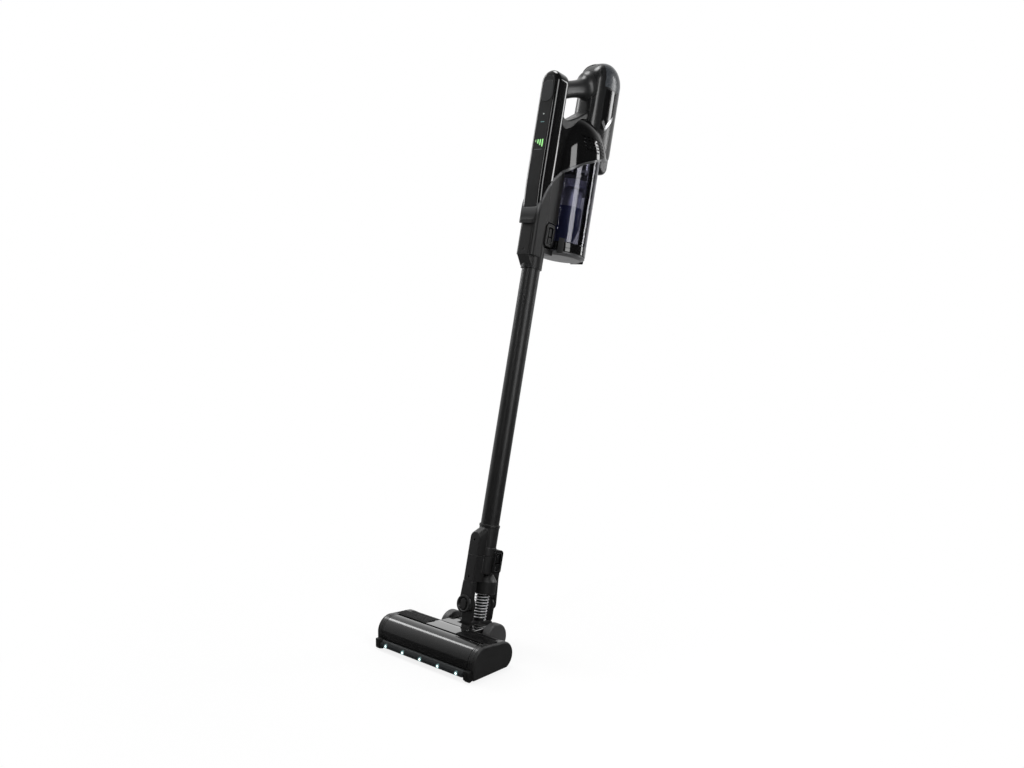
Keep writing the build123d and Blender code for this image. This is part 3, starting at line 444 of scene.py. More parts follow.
ring_profile = [(110.0, 0.7), (110.3, 0.2), (113.6, 0.2), (113.8, 0.6), (114.2, 0.6), (114.4, 0.0),
                (120.6, 0.0), (120.9, 0.5)]
corner_r = 3.8
cap_profile = [(121.0, 0.9), (121.3, 0.2), (121.7, 0.0)]
cap_profile += [(121.7 + corner_r * sin(radians(t)), corner_r - corner_r * cos(radians(t)))
                for t in range(15, 91, 15)]
cap_profile += [(125.2, 4.4), (125.15, 16.0)]
caps, rings = bmesh.new(), bmesh.new()
for side in (1, -1):
    rings = add(rings, stacked([(x, head_line(inset)) for x, inset in ring_profile], side))
    caps = add(caps, stacked([(x, head_line(inset)) for x, inset in cap_profile], side))
piece("side_caps", caps, "floor_head", cap_matt, ["end_caps"], crease=50)
piece("side_rings", rings, "floor_head", ring_satin, crease=50)


# ---- Rear deck -------------------------------------------------------------
# Top skin behind the cover: a raised panel on each side with fine grooves
# along it and a step at its rear edge, then a plain slope down to the back.
deck_black = moulding("deck_black", (0.005, 0.005, 0.0052), (0.09, 0.09, 0.09), rough=0.34,
                      grain_size=1500, grain_depth=0.02, highlight_share=0.8, ior=1.12, rounding=0.0004)


def top_line(y):
    """Height of the head's sloping top at y."""
    return 56.24 - 0.1068 * (y + 94.98)


panel_row = [(-83.9, top_line(-83.9) - 2.4), (-83.7, top_line(-83.7) - 0.5), (-82.2, top_line(-82.2) + 0.2)]
groove_pitch, groove_depth = 4.6, 1.0
for groove in range(4):
    y = -78.5 + groove_pitch * groove
    level = top_line(y) + (0.5 + 0.35 * groove)
    panel_row += [(y - 1.6, level), (y - 0.7, level), (y - 0.4, level - groove_depth),
                  (y + 0.4, level - groove_depth), (y + 0.7, level)]
panel_row += [(-61.4, top_line(-61.4) + 1.8), (-60.2, top_line(-60.2) + 1.3), (-59.8, top_line(-59.8) - 2.4)]
panels = bmesh.new()
for side in (1, -1):
    panel = slab(panel_row, side * 39.0, side * 119.0)
    soften(panel, 0.4, 2, 60, lambda p: abs(p.x) > 118)
    panels = add(panels, panel)
deck_row = [(-84.0, top_line(-84.0) - 0.9), (-59.0, top_line(-59) - 0.4), (-56.5, top_line(-56.5) - 2.2)]
deck_row += arc((rear_y, rear_z), rear_r - 0.6, 84, 6, 24)
deck_row += [(rear_y + rear_r - 0.8, 3.2), (-83.0, 3.2)]
deck = slab(deck_row, -109.9, 109.9)
wheel_x, axle_z = 53.5, 27
wells = bmesh.new()
for side in (1, -1):
    wells = add(wells, rod(28.2, -9.4, 9.4, (side * wheel_x, 0, axle_z), "X", 64))


merge_gap = 0.000002


def carve(obj, cutter, keep=False, leaning=False):
    """Cut one closed mesh out of a piece, both drawn in millimetres."""
    bmesh.ops.scale(cutter, vec=(MM, MM, MM), verts=cutter.verts)
    if leaning:
        bmesh.ops.transform(cutter, matrix=lean, verts=cutter.verts)
    mesh = bpy.data.meshes.new("cutter")
    cutter.to_mesh(mesh)
    cutter.free()
    tool = bpy.data.objects.new("cutter", mesh)
    bpy.context.collection.objects.link(tool)
    obj.modifiers.clear()
    cut = obj.modifiers.new("cut", "BOOLEAN")
    cut.operation = "INTERSECT" if keep else "DIFFERENCE"
    cut.solver = "EXACT"
    cut.object = tool
    bpy.context.view_layer.update()
    done = bpy.data.meshes.new_from_object(obj.evaluated_get(bpy.context.evaluated_depsgraph_get()))
    tidy = bmesh.new()
    tidy.from_mesh(done)
    bmesh.ops.remove_doubles(tidy, verts=tidy.verts, dist=merge_gap)
    bmesh.ops.dissolve_degenerate(tidy, edges=tidy.edges, dist=merge_gap)
    bmesh.ops.recalc_face_normals(tidy, faces=tidy.faces)
    tidy.to_mesh(done)
    tidy.free()
    done.set_sharp_from_angle(angle=radians(plain_crease))
    obj.modifiers.clear()
    even_normals(obj)
    plain = obj.data
    obj.data = done
    bpy.data.meshes.remove(plain)
    bpy.data.objects.remove(tool)
    bpy.data.meshes.remove(mesh)
    return obj


deck_piece = piece("rear_skin", deck, "floor_head", deck_black, ["rear_deck"], crease=28)
carve(deck_piece, wells)
piece("deck_panels", panels, "floor_head", deck_black, crease=28)


# ---- Lamp strip and lamps --------------------------------------------------
# Smoky clear strip under the cover. Five white lamps shine through it, each
# with a short glow in the plastic round it.
strip_row = [(-136.4, 7.9), (-137.0, 9.0), (-136.9, 10.0), (-136.1, 13.4), (-129.4, 18.3),
             (-126.6, 18.3), (-126.6, 7.9)]
lamp_pitch = 45.5
strip = slab(strip_row, -105.1, 105.1)
soften(strip, 0.35, 2, 40)
glow, tree = new_material("lit_strip")
split = node(tree, "ShaderNodeSeparateXYZ", (-700, 0), {0: object_place(tree)})
half_pitch = lamp_pitch * MM / 2
along = node(tree, "ShaderNodeMath", (-500, 0), {0: split.outputs["X"], 1: half_pitch, 2: -half_pitch},
             operation="WRAP")
up = worked(tree, "SUBTRACT", split.outputs["Z"], 0.0112, (-500, -200))
spread = node(tree, "ShaderNodeCombineXYZ", (-300, 0), {"X": along.outputs[0], "Y": up})
reach = node(tree, "ShaderNodeVectorMath", (-100, 0), {0: spread.outputs[0]}, operation="LENGTH")
fall = ranged(tree, reach.outputs["Value"], (0.0066, 0.0006), (0.0, 0.9), (100, 0), "SMOOTHERSTEP")
body = node(tree, "ShaderNodeBsdfPrincipled", (500, 0), {
    "Base Color": (0.022, 0.024, 0.025, 1), "Roughness": 0.2, "IOR": 1.1,
    "Emission Color": (0.6, 1.0, 1.0, 1), "Emission Strength": worked(tree, "POWER", fall, 2.2, (300, 0))})
node(tree, "ShaderNodeOutputMaterial", (900, 0), {"Surface": body.outputs[0]})
piece("lamp_strip", strip, "floor_head", glow, ["led_strip"])

lamps = bmesh.new()
for i in range(5):
    lens = [(0, -0.6), (1.0, -0.5), (1.5, -0.25), (1.7, 0.1), (1.7, 0.6), (0, 0.6)]
    lamps = add(lamps, lathe(lens, ((i - 2) * lamp_pitch, -136.5, 11.4), "Y", 24))
lamp_white, tree = new_material("lamp_white")
facets = node(tree, "ShaderNodeTexVoronoi", (-300, 0), {"Vector": object_place(tree), "Scale": 900.0})
power = ranged(tree, facets.outputs["Distance"], (0, 1), (3.0, 2.2), (-100, 0))
shine = node(tree, "ShaderNodeBsdfPrincipled", (300, 0), {
    "Base Color": (0.8, 0.95, 0.95, 1), "Emission Color": (0.86, 1.0, 1.0, 1), "Emission Strength": power})
node(tree, "ShaderNodeOutputMaterial", (600, 0), {"Surface": shine.outputs[0]})
piece("lamp_lenses", lamps, "floor_head", lamp_white, ["led_lamps"])


# ---- Corner bumpers --------------------------------------------------------
# Rubber-tipped feet at both ends of the lamp strip. They keep the head off
# skirting boards and carry its front corners.
bumper_black = moulding("bumper_black", (0.008, 0.008, 0.008), (0.04, 0.04, 0.04), rough=0.4,
                        grain_size=1300, grain_depth=0.3, highlight_share=0.6)
foot_line = [(-122.2, 3.0), (-131.0, 0.9), (-133.6, 1.6), (-134.9, 4.0), (-134.9, 18.4), (-133.9, 19.8),
             (-124.0, 19.9), (-122.2, 19.0)]
shoulder_line = [(-122.2, 3.4), (-130.6, 1.6), (-133.0, 2.4), (-134.0, 4.6), (-134.0, 17.4),
                 (-133.2, 18.8), (-124.0, 18.9)]
feet = bmesh.new()
for side in (1, -1):
    foot = slab(foot_line, side * 109.2, side * 120.4)
    soften(foot, 1.6, 4, 60, lambda p: p.y < -124)
    shoulder = slab(shoulder_line, side * 105.5, side * 109.6)
    soften(shoulder, 0.9, 3, 60, lambda p: p.y < -124)
    feet = add(feet, foot, shoulder)
piece("corner_feet", feet, "floor_head", bumper_black, ["bumpers"], crease=40)


# ---- Centre bridge ---------------------------------------------------------
# Polished bridge between the head and the tilt axis. It is hollow for the
# air, its two cheeks carry the yoke and the wheels, and a polished apron
# closes the gap to the cover in front of it.
bridge_black = moulding("bridge_black", (0.004, 0.004, 0.0042), (0.03, 0.03, 0.03), rough=0.06,
                        grain_size=800, grain_depth=0.004, highlight_share=0.5, coat=1.0)
bridge_line = clipped(wrap((-62, 30), 20.4, (0, axle_z), 18.4, 24), 3.4)
bridge = slab(bridge_line, -43.9, 43.9)
soften(bridge, 3.4, 4, 50)
apron_line = [(-83.9, top_line(-83.9) - 0.2), (-58.0, top_line(-58.0) + 0.3), (-50.0, 51.2), (-46.0, 50.0),
              (-44.0, 40.0), (-83.9, 40.0)]
apron = slab(apron_line, -38.6, 38.6)
soften(apron, 0.8, 3, 40)
bridge_piece = piece("centre_bridge", bridge, "floor_head", bridge_black,
                     ["center_housing"], crease=30)
carve(bridge_piece, rod(17.5, -36.2, 36.2, (0, 0, axle_z), "X", 64))
carve(bridge_piece, box((-13, 40), (-4, 70), -36.2, 36.2))
carve(bridge_piece, rod(35, -14.2, 14.2, (0, 0, axle_z), "X", 64))
piece("bridge_apron", apron, "floor_head", bridge_black, crease=30)


# ---- Wheels ----------------------------------------------------------------
# Two plain discs on the ends of the tilt axle, each with a tread band and a
# fine ring groove. A half-round badge sits in a shallow recess in each face.
face_grey = moulding("wheel_face", (0.05, 0.05, 0.051), (0.12, 0.12, 0.12), rough=0.42,
                     grain_size=1600, grain_depth=0.1, highlight_share=1.0, rounding=0.0005)
wheel_profile = [(5, -8.4), (22, -8.4), (25.6, -7.9), (26.6, -6.6), (26.75, -5), (26.75, 4.6), (26.5, 6.2),
                 (25.6, 7.4), (24.6, 7.9), (24.1, 7.9), (23.7, 7.2), (23.3, 7.9), (21.0, 8.15), (9.0, 8.3),
                 (8.4, 8.3), (0, 8.3)]
badge_line = [(-6.2, 12.2), (6.2, 12.2), (6.2, 16.0)] + arc((0, 16.0), 6.2, 0, 180, 14)[1:]
for side, hand in ((1, "right"), (-1, "left")):
    disc = lathe([(r, side * h) for r, h in wheel_profile], (side * wheel_x, 0, axle_z), "X", 96)
    badge = slab([(a, b + 1.5) for a, b in badge_line], side * 60.9, side * 62.1)
    soften(badge, 0.3, 2, 60)
    recess = slab([(a * 1.15, b + 1.5 + (-0.9 if b < 13 else 0.6)) for a, b in badge_line],
                  side * 60.9, side * 63.0)
    wheel_piece = piece("wheel_" + hand + "_disc", disc, hand + "_wheel", face_grey,
                        ["wheel_" + hand], crease=30)
    carve(wheel_piece, recess)
    piece("wheel_" + hand + "_badge", badge, hand + "_wheel", face_grey, crease=30)


# ---- Inside the floor head -------------------------------------------------
# Base shell, tufted roller with its bearings, belt drive and support rollers.
# They show from below and through the brush opening.
sole_black = moulding("sole_black", (0.012, 0.012, 0.0122), (0.05, 0.05, 0.05), rough=0.55,
                      grain_size=1200, grain_depth=0.35, highlight_share=0.8)
roller_grey = moulding("roller_grey", (0.07, 0.07, 0.072), (0.12, 0.12, 0.12), rough=0.5,
                       grain_size=1300, grain_depth=0.3, highlight_share=0.6)
rubber_black = moulding("rubber_black", (0.009, 0.009, 0.009), (0.03, 0.03, 0.03), rough=0.72,
                        grain_size=1000, grain_depth=0.4, highlight_share=0.4)
steel_bright = moulding("steel_bright", (0.56, 0.56, 0.57), (0.75, 0.75, 0.75), rough=0.24,
                        grain_size=2200, grain_depth=0.08, highlight_share=0.5, metal=1.0)
paint(sole_black, "head_base")
paint(roller_grey, "brush_core", "brush_bearings", "sole_rollers")
paint(rubber_black, "drive_belt")
paint(steel_bright, "axle_pins", "brush_motor", "motor_pulley")


def ramp(tree, source, low, high, place=(0, 0)):
    """Colour ramp between two (position, colour) stops."""
    made = node(tree, "ShaderNodeValToRGB", place, {"Fac": source})
    for stop, (position, colour) in zip(made.color_ramp.elements, (low, high)):
        stop.position, stop.color = position, (*colour, 1)
    return made.outputs["Color"]


tuft, tree = new_material("tufts")
strands = node(tree, "ShaderNodeTexVoronoi", (-400, 0), {"Vector": object_place(tree), "Scale": 1500.0})
pile = node(tree, "ShaderNodeBump", (100, -200),
            {"Distance": 0.0006, "Strength": 0.8, "Height": strands.outputs["Distance"]})
ends = ramp(tree, strands.outputs["Distance"], (0.0, (0.05, 0.05, 0.055)), (1.0, (0.006, 0.006, 0.007)),
            (-150, 100))
hair = node(tree, "ShaderNodeBsdfPrincipled", (400, 0),
            {"Roughness": 0.75, "Base Color": ends, "Normal": pile.outputs[0]})
node(tree, "ShaderNodeOutputMaterial", (700, 0), {"Surface": hair.outputs[0]})
paint(tuft, "brush_bristles")


# ---- Tilt yoke -------------------------------------------------------------
# Matt barrel on the tilt axle with a flat deck and two upright lugs. The lugs
# hold the steering pins of the neck.
yoke_black = moulding("yoke_black", (0.010, 0.010, 0.0102), (0.05, 0.05, 0.05), rough=0.38,
                      grain_size=1400, grain_depth=0.2, highlight_share=0.7, rounding=0.0009)
paint(yoke_black, "yoke")


# ---- Neck ------------------------------------------------------------------
# Upright socket for the wand with a flat-fronted casing, a rear leg and the
# bridge between them. The front arm hangs below the casing seam.
casing_black = moulding("casing_black", (0.009, 0.009, 0.0092), (0.12, 0.12, 0.12), rough=0.42,
                        grain_size=1600, grain_depth=0.1, highlight_share=1.0, rounding=0.0005)
case_front, case_half = -35.5, 12.0


def arched(low, high, half, arch_top, slope=0.6, depth=-8.0):
    """Front casing with a bevelled face; an arched top climbs towards the rear."""
    face_profile = [(case_front, 1.5), (case_front + 0.4, 0.8), (case_front + 1.0, 0.25),
                    (case_front + 1.7, 0.0), (depth, 0.0)]
    sections = []
    for y, inset in face_profile:
        wide = half - inset
        if arch_top:
            climb, top = slope * (y - case_front), high - inset
            line = [(-wide, low), (wide, low)] + arc((0, top - wide), wide, 0, 180, 28)
            line = [(a, b + (climb if b > low + 1 else 0.0)) for a, b in line]
        else:
            line = [(-wide, low), (wide, low), (wide, high), (-wide, high)]
        sections.append((y, line))
    return stacked(sections, 1, "Y")


def screw_hole(level):
    """Cutter for a screw's hole in the front of a casing."""
    return rod(2.2, case_front - 2, case_front + 6, (0, 0, level), "Y", 28)


steer_z = 50.5
neck = lathe([(16.1, 141.2), (19.1, 141.2), (19.5, 140.8), (19.5, 112.0), (18.6, 109.0), (15.6, 107.2),
              (12.2, 107.0), (12.2, 109.8), (16.1, 109.8)], (0, 0, 0), "Z", 80)
casing = arched(93.4, 141.2, case_half, False)
leg = slab([(a, min(b, 104.0)) for a, b in wrap((0, steer_z), 12, (0, 96), 8, 20)], 36.1, 41.4, "Y")
soften(leg, 1.2, 3, 40)
neck_bridge = box((-8, 8), (98.2, 110.4), 16.2, 41.4, "Y")
soften(neck_bridge, 1.6, 3, 40)
neck_piece = piece("neck_frame", add(neck, casing, leg, neck_bridge), "neck", casing_black,
                   ["neck_body"], leaning=True, crease=38)
carve(neck_piece, screw_hole(101.5), leaning=True)
steel_dark = moulding("steel_dark", (0.10, 0.10, 0.105), (0.3, 0.3, 0.3), rough=0.3,
                      grain_size=1800, grain_depth=0.1, highlight_share=0.5, metal=1.0)
paint(steel_dark, "flap_pin")
paint(rubber_black, "neck_screw", "foot_screw", "socket_screw")

arm_line = [(a, min(b, 92.8)) for a, b in wrap((0, steer_z), 14, (0, 100), 11.9, 24)]
arm = slab(arm_line, case_front + 0.1, -24.3, "Y")
soften(arm, 1.1, 3, 40, lambda p: p.z < 92 and p.y < -30)
piece("front_arm_cover", arm, "neck", casing_black, ["front_arm"], leaning=True, crease=38)


# ---- Steering boss ---------------------------------------------------------
# Round cover disc over the front steering pin, with a stepped rim and an
# upright oval pill in its middle. A small disc closes the rear pin.
boss_satin = moulding("boss_satin", (0.016, 0.016, 0.0165), (0.06, 0.06, 0.06), rough=0.3,
                      grain_size=1500, grain_depth=0.12, highlight_share=0.8)
boss = lathe([(0, -36.4), (10.8, -36.4), (11.4, -36.8), (12.0, -38.3), (12.9, -38.9), (15.2, -38.9),
              (16.3, -38.4), (16.9, -37.2), (16.9, -35.4), (5, -35.4), (5, -17.7), (0, -17.7)],
             (0, 0, steer_z), "Y", 80)
pill = slab(wrap((0, 46.6), 6.9, (0, 54.4), 6.9, 20), -38.7, -36.2, "Y")
soften(pill, 1.7, 5, 50, lambda p: p.y < -38)
rear_disc = lathe([(0, 43.8), (8.2, 43.8), (9.4, 43.3), (9.9, 42.2), (9.9, 41.5), (5, 41.5), (5, 31.2),
                   (0, 31.2)], (0, 0, steer_z), "Y", 64)
piece("steering_bosses", add(boss, pill, rear_disc), "neck", boss_satin, ["steer_pins"],
      leaning=True, crease=36)


# ---- Bell, hose and spring -------------------------------------------------
# Turned bell under the neck. It grips the ribbed hose, and a bright steel
# spring keeps the hose round while the neck turns.
hose_y = 11.5
bell = lathe([(20.6, 71.0), (22.5, 71.0), (22.95, 71.5), (22.95, 94.6), (22.6, 95.3), (14.9, 105.9),
              (14.4, 106.5), (13.2, 107.0), (8.0, 107.0), (8.0, 95.1), (10.8, 95.1), (10.8, 85.1),
              (12.7, 85.1), (12.7, 98.0), (20.6, 92.6)], (0, hose_y, 0), "Z", 88)
bell_black = moulding("bell_black", (0.012, 0.012, 0.0122), (0.16, 0.16, 0.16), rough=0.38,
                      grain_size=1500, grain_depth=0.25, highlight_share=1.0, rounding=0.0006)
piece("bell", bell, "neck", bell_black, ["bell_skirt"], leaning=True, crease=12)

rib_pitch = 2.3
ribs = [(9.2, 19.4)]
for i in range(27):
    level = 19.6 + rib_pitch * i
    ribs += [(10.1, level), (10.7, level + 0.6), (10.7, level + 1.3), (10.1, level + 1.9)]
ribs += [(10.7, 82.0), (10.7, 94.9), (9.2, 94.9)]
piece("hose", lathe(ribs, (0, hose_y, 0), "Z", 48), "neck", rubber_black, ["hose_liner"],
      leaning=True)


def hoop(bm, centre, across, upward, around):
    """Oval ring of points round a centre, drawn between two half axes."""
    turns = [2 * pi * k / around for k in range(around)]
    return [bm.verts.new(centre + across * cos(t) + upward * sin(t)) for t in turns]


coil_low, coil_high, coil_pitch, coil_r, wire_r, per_turn = 21.6, 84.0, 5.4, 12.5, 1.1, 40
coil = bmesh.new()
loops = []
for i in range(int((coil_high - coil_low) / coil_pitch * per_turn) + 1):
    turn = 2 * pi * i / per_turn
    outwards = Vector((cos(turn), sin(turn), 0))
    centre = Vector((0, hose_y, coil_low + coil_pitch * i / per_turn)) + outwards * coil_r
    loops.append(hoop(coil, centre, outwards * wire_r, Vector((0, 0, wire_r)), 10))
join_rows(coil, loops)
coil.faces.new(loops[0])
coil.faces.new(loops[-1])
spring_steel = moulding("spring_steel", (0.72, 0.72, 0.73), (0.85, 0.85, 0.85), rough=0.3,
                        grain_size=2600, grain_depth=0.02, highlight_share=0.5, metal=0.35)
piece("hose_coil", coil, "neck", spring_steel, ["hose_spring"], leaning=True, crease=60)


# ---- Release latches -------------------------------------------------------
# Stirrup-shaped latches, one at each end of the wand. Their cheeks carry a
# long finger recess with two raised blocks and a thin bead round its mouth,
# and slide with the button.
latch_black = moulding("latch_black", (0.006, 0.006, 0.0062), (0.3, 0.3, 0.3), rough=0.3,
                       grain_size=1500, grain_depth=0.02, highlight_share=1.0, rounding=0.0006, ior=1.3)
# The bead round the recess mouth is lighter than the latch itself: a painted highlight.
latch_edge_highlight = moulding("latch_edge_highlight", (0.05, 0.05, 0.051), (0.12, 0.12, 0.12), rough=0.3,
                      grain_size=1500, grain_depth=0.02, highlight_share=0.5, rounding=0.0)
# Recess floors are a darker, barely reflecting sheet: painted shade in the finger recess.
recess_shade = moulding("recess_shade", (0.002, 0.002, 0.0021), (0.01, 0.01, 0.01), rough=0.3,
                        grain_size=1200, grain_depth=0.02, highlight_share=0.3, ior=1.08)


def rounded(cx, cy, wide, tall, r, steps=8):
    """Rounded rectangle outline."""
    points = []
    for sx, sy, start in ((1, 1, 0), (-1, 1, 90), (-1, -1, 180), (1, -1, 270)):
        points += arc((cx + sx * (wide / 2 - r), cy + sy * (tall / 2 - r)), r, start, start + 90, steps)
    return points


def bead(line, x, thick=0.38):
    """Thin round bead along an outline that lies across x."""
    ring = bmesh.new()
    spots = [Vector((x, a, b)) for a, b in line]
    spots = [spot for i, spot in enumerate(spots) if (spot - spots[i - 1]).length > 0.01]
    hoops = []
    for i, spot in enumerate(spots):
        ahead = (spots[(i + 1) % len(spots)] - spots[i - 1]).normalized()
        outwards = ahead.cross(Vector((1, 0, 0)))
        hoops.append(hoop(ring, spot, outwards * thick, Vector((thick, 0, 0)), 8))
    join_rows(ring, hoops + hoops[:1])
    return ring


def latch(name, level, body, stands_for):
    """Stirrup with recessed cheeks at a given level of the wand."""
    latch_y = 14.5
    stirrup = slab(rounded(latch_y, level, 25, 44, 6.9), -22.1, 22.1)
    soften(stirrup, 1.0, 3, 60, lambda p: abs(p.x) > 21)
    made = piece(name, stirrup, body, latch_black, stands_for, leaning=True, crease=36)
    carve(made, box((-20, 21.8), (level - 40, level + 40), -19.8, 19.8), leaning=True)
    floors, blocks, beads = bmesh.new(), bmesh.new(), bmesh.new()
    for side in (1, -1):
        dish = slab(rounded(latch_y, level, 15.5, 34, 5), side * 21.0, side * 24)
        carve(made, dish, leaning=True)
        # A dark sheet over each recess floor: painted shade.
        floors = add(floors, slab(rounded(latch_y, level, 15.4, 33.9, 5), side * 20.7, side * 21.06))
        thumb_block = slab(rounded(latch_y, level - 9.5, 9.5, 10.5, 2), side * 20.8, side * 22.0)
        soften(thumb_block, 0.5, 2, 60)
        upper_block = slab(rounded(latch_y, level + 5.5, 6.0, 15.0, 2), side * 20.8, side * 21.4)
        soften(upper_block, 0.3, 2, 60)
        blocks = add(blocks, thumb_block, upper_block)
        beads = add(beads, bead(rounded(latch_y, level, 15.7, 34.2, 5.1), side * 22.0))
    piece(name + "_recess", floors, body, recess_shade, leaning=True, crease=36)
    piece(name + "_blocks", blocks, body, latch_black, leaning=True, crease=36)
    piece(name + "_bead", beads, body, latch_edge_highlight, leaning=True, crease=60)


latch("lower_latch", 133.0, "neck_release", ["neck_latch"])
latch("upper_latch", 757.0, "wand_release", ["wand_latch"])


# ---- Wand ------------------------------------------------------------------
# Thin aluminium tube, anodised dull black. Its moulded foot has a stepped
# collar and a casing whose arched top climbs back to the tube.
tube_black = moulding("tube_black", (0.012, 0.012, 0.0122), (0.06, 0.06, 0.06), rough=0.4,
                      grain_size=1900, grain_depth=0.2, highlight_share=0.4, metal=0.25)
tube = lathe([(16.0, 150.2), (17.5, 150.2), (17.5, 744.4), (17.1, 744.9), (16.0, 744.9)], (0, 0, 0), "Z", 96)
piece("tube", tube, "wand", tube_black, ["wand_tube"], leaning=True)
collar = lathe([(17.6, 200.3), (18.6, 200.3), (19.4, 199.8), (19.7, 199.0), (19.7, 195.8), (19.2, 195.2),
                (18.8, 194.6), (18.8, 158.2), (19.3, 157.6), (19.7, 157.0), (19.7, 142.2), (19.3, 141.7),
                (15.9, 141.7), (15.9, 110.2), (13.4, 110.2), (13.4, 149.8), (17.55, 149.8)],
               (0, 0, 0), "Z", 88)
foot_case = arched(141.7, 185.0, case_half, True)
foot_piece = piece("wand_collar", add(collar, foot_case), "wand", casing_black,
                   ["wand_foot"], leaning=True, crease=38)
carve(foot_piece, screw_hole(170.5), leaning=True)


# ---- Handheld socket -------------------------------------------------------
# Matt casing that takes the wand and leads the air to the bin. Its chin
# slopes back to the collar, and a screw closes it from the front.
socket_black = moulding("socket_black", (0.009, 0.009, 0.0092), (0.1, 0.1, 0.1), rough=0.42,
                        grain_size=1500, grain_depth=0.08, highlight_share=1.0, rounding=0.0006, ior=1.32)
paint(socket_black, "connector_housing")
paint(rubber_black, "port_seal")


# ---- Trim band -------------------------------------------------------------
# Light grey band that sweeps from the chin up and back over the bin. It
# covers the joint between the upper and lower mouldings. Its foot, in front
# of the chin, is dark like the socket below it.
trim_satin = moulding("trim_satin", (0.085, 0.086, 0.088), (0.2, 0.2, 0.2), rough=0.26,
                      grain_size=1700, grain_depth=0.02, highlight_share=0.3, metal=0.4, rounding=0.0006)
band_satin = trim_satin.copy()
band_satin.name = "band_satin"
tree = band_satin.node_tree
finish = next(n for n in tree.nodes if n.bl_idname == "ShaderNodeGroup")
skin = next(n for n in tree.nodes if n.bl_idname == "ShaderNodeBsdfPrincipled")
split = node(tree, "ShaderNodeSeparateXYZ", (-700, -200), {0: object_place(tree, (-900, -200))})
foot_share = ranged(tree, split.outputs["Z"], (0.822, 0.798), place=(-500, -200))
darkened = node(tree, "ShaderNodeMix", (0, 200), {
    "Factor": foot_share, "A": finish.outputs["Color"], "B": (0.009, 0.009, 0.0092, 1)}, data_type="RGBA")
tree.links.new(darkened.outputs["Result"], skin.inputs["Base Color"])
for label, band_value, foot_value, y in (("Roughness", 0.26, 0.45, -100), ("Metallic", 0.4, 0.0, -350),
                                         ("IOR", 1.46, 1.3, -600)):
    tree.links.new(ranged(tree, foot_share, (0, 1), (band_value, foot_value), (0, y)), skin.inputs[label])
paint(band_satin, "arch_trim")
sweep = [(-44, 770), (-36, 772), (-31.5, 790), (-24, 819), (-12, 845), (4, 865), (25, 886), (48, 904),
         (79, 920), (110, 932), (138, 941), (175, 950)]


def smoothed(rows, steps):
    """Rows of numbers on a smooth curve through the given rows, without the last one."""
    ends = [rows[0]] + rows + [rows[-1]]
    made = []
    for p0, p1, p2, p3 in zip(ends, ends[1:], ends[2:], ends[3:]):
        for k in range(steps):
            t = k / steps
            made.append(tuple(0.5 * (2 * q1 + (q2 - q0) * t + (2 * q0 - 5 * q1 + 4 * q2 - q3) * t * t
                                     + (3 * q1 - q0 - 3 * q2 + q3) * t ** 3)
                              for q0, q1, q2, q3 in zip(p0, p1, p2, p3)))
    return made


def sweep_line(shift):
    """Smooth curve through the band's points, moved sideways by shift."""
    moved = []
    for i, (a, b) in enumerate(sweep):
        (a0, b0), (a1, b1) = sweep[max(i - 1, 0)], sweep[min(i + 1, len(sweep) - 1)]
        run = hypot(a1 - a0, b1 - b0)
        moved.append((a - shift * (b1 - b0) / run, b + shift * (a1 - a0) / run))
    return smoothed(moved, 5) + [moved[-1]]


def beyond_sweep(shift, above):
    """Cutter that fills one side of the band's line."""
    line = sweep_line(shift)
    far = 1250 if above else 600
    return slab(line + [(line[-1][0], far), (line[0][0], far)], -60, 60)


# ---- Dust bin --------------------------------------------------------------
# Smoky clear drum, moulded in one piece and cut off along the sweep of the
# band. A black ring at its foot carries the hinge of a grey lid.
smoke, tree = new_material("smoky_clear")
haze = node(tree, "ShaderNodeTexNoise", (-600, 0),
            {"Vector": object_place(tree), "Scale": 35.0, "Detail": 5.0})
shade = ramp(tree, haze.outputs["Fac"], (0.3, (0.60, 0.60, 0.64)), (0.75, (0.66, 0.66, 0.70)), (-300, 0))
clear = node(tree, "ShaderNodeBsdfTransparent", (400, 100), {"Color": shade})
skin = node(tree, "ShaderNodeBsdfGlossy", (400, -100), {"Color": (0.9, 0.9, 0.95, 1), "Roughness": 0.05})
fresnel = node(tree, "ShaderNodeFresnel", (100, 250), {"IOR": 1.5})
shell = node(tree, "ShaderNodeMixShader", (700, 0),
             {0: fresnel.outputs[0], 1: clear.outputs[0], 2: skin.outputs[0]})
node(tree, "ShaderNodeOutputMaterial", (900, 0), {"Surface": shell.outputs[0]})
bin_y = 79
bin_centre = (0, bin_y, 0)
drum = lathe([(45.9, 753.2), (47.7, 753.2), (47.95, 753.6), (47.95, 975), (45.9, 975)], bin_centre, "Z", 120)
drum_piece = piece("bin_drum", drum, "dust_bin", smoke, ["bin_wall"], leaning=True, crease=40)
carve(drum_piece, beyond_sweep(-2.6, True), leaning=True)
carve(drum_piece, rod(9.6, 20, 45, (0, 0, 800), "Y", 40), leaning=True)

gloss_black = moulding("gloss_black", (0.004, 0.004, 0.0042), (0.05, 0.05, 0.05), rough=0.07,
                       grain_size=900, grain_depth=0.004, highlight_share=0.0, coat=0.2, rounding=0.0)
ring = lathe([(45.9, 735.2), (47.9, 735.2), (48.5, 735.7), (48.5, 741.6), (48.1, 742.0), (48.1, 742.7),
              (48.5, 743.1), (48.5, 751.8), (48.0, 752.8), (45.9, 752.8)], bin_centre, "Z", 120)
hinge_at, hinge_r = (132, 731.5), 3.35
knuckle_line = [(128, 735.3), (127, 743), (129.5, 743), (135.3, 734.5)] + arc(hinge_at, hinge_r, 20, -160, 14)
knuckles = bmesh.new()
for low, high in ((-14, -8), (8, 14)):
    knuckles = add(knuckles, slab(knuckle_line, low, high))
piece("bin_ring", add(ring, knuckles), "dust_bin", gloss_black, ["bin_band"],
      leaning=True, crease=36)

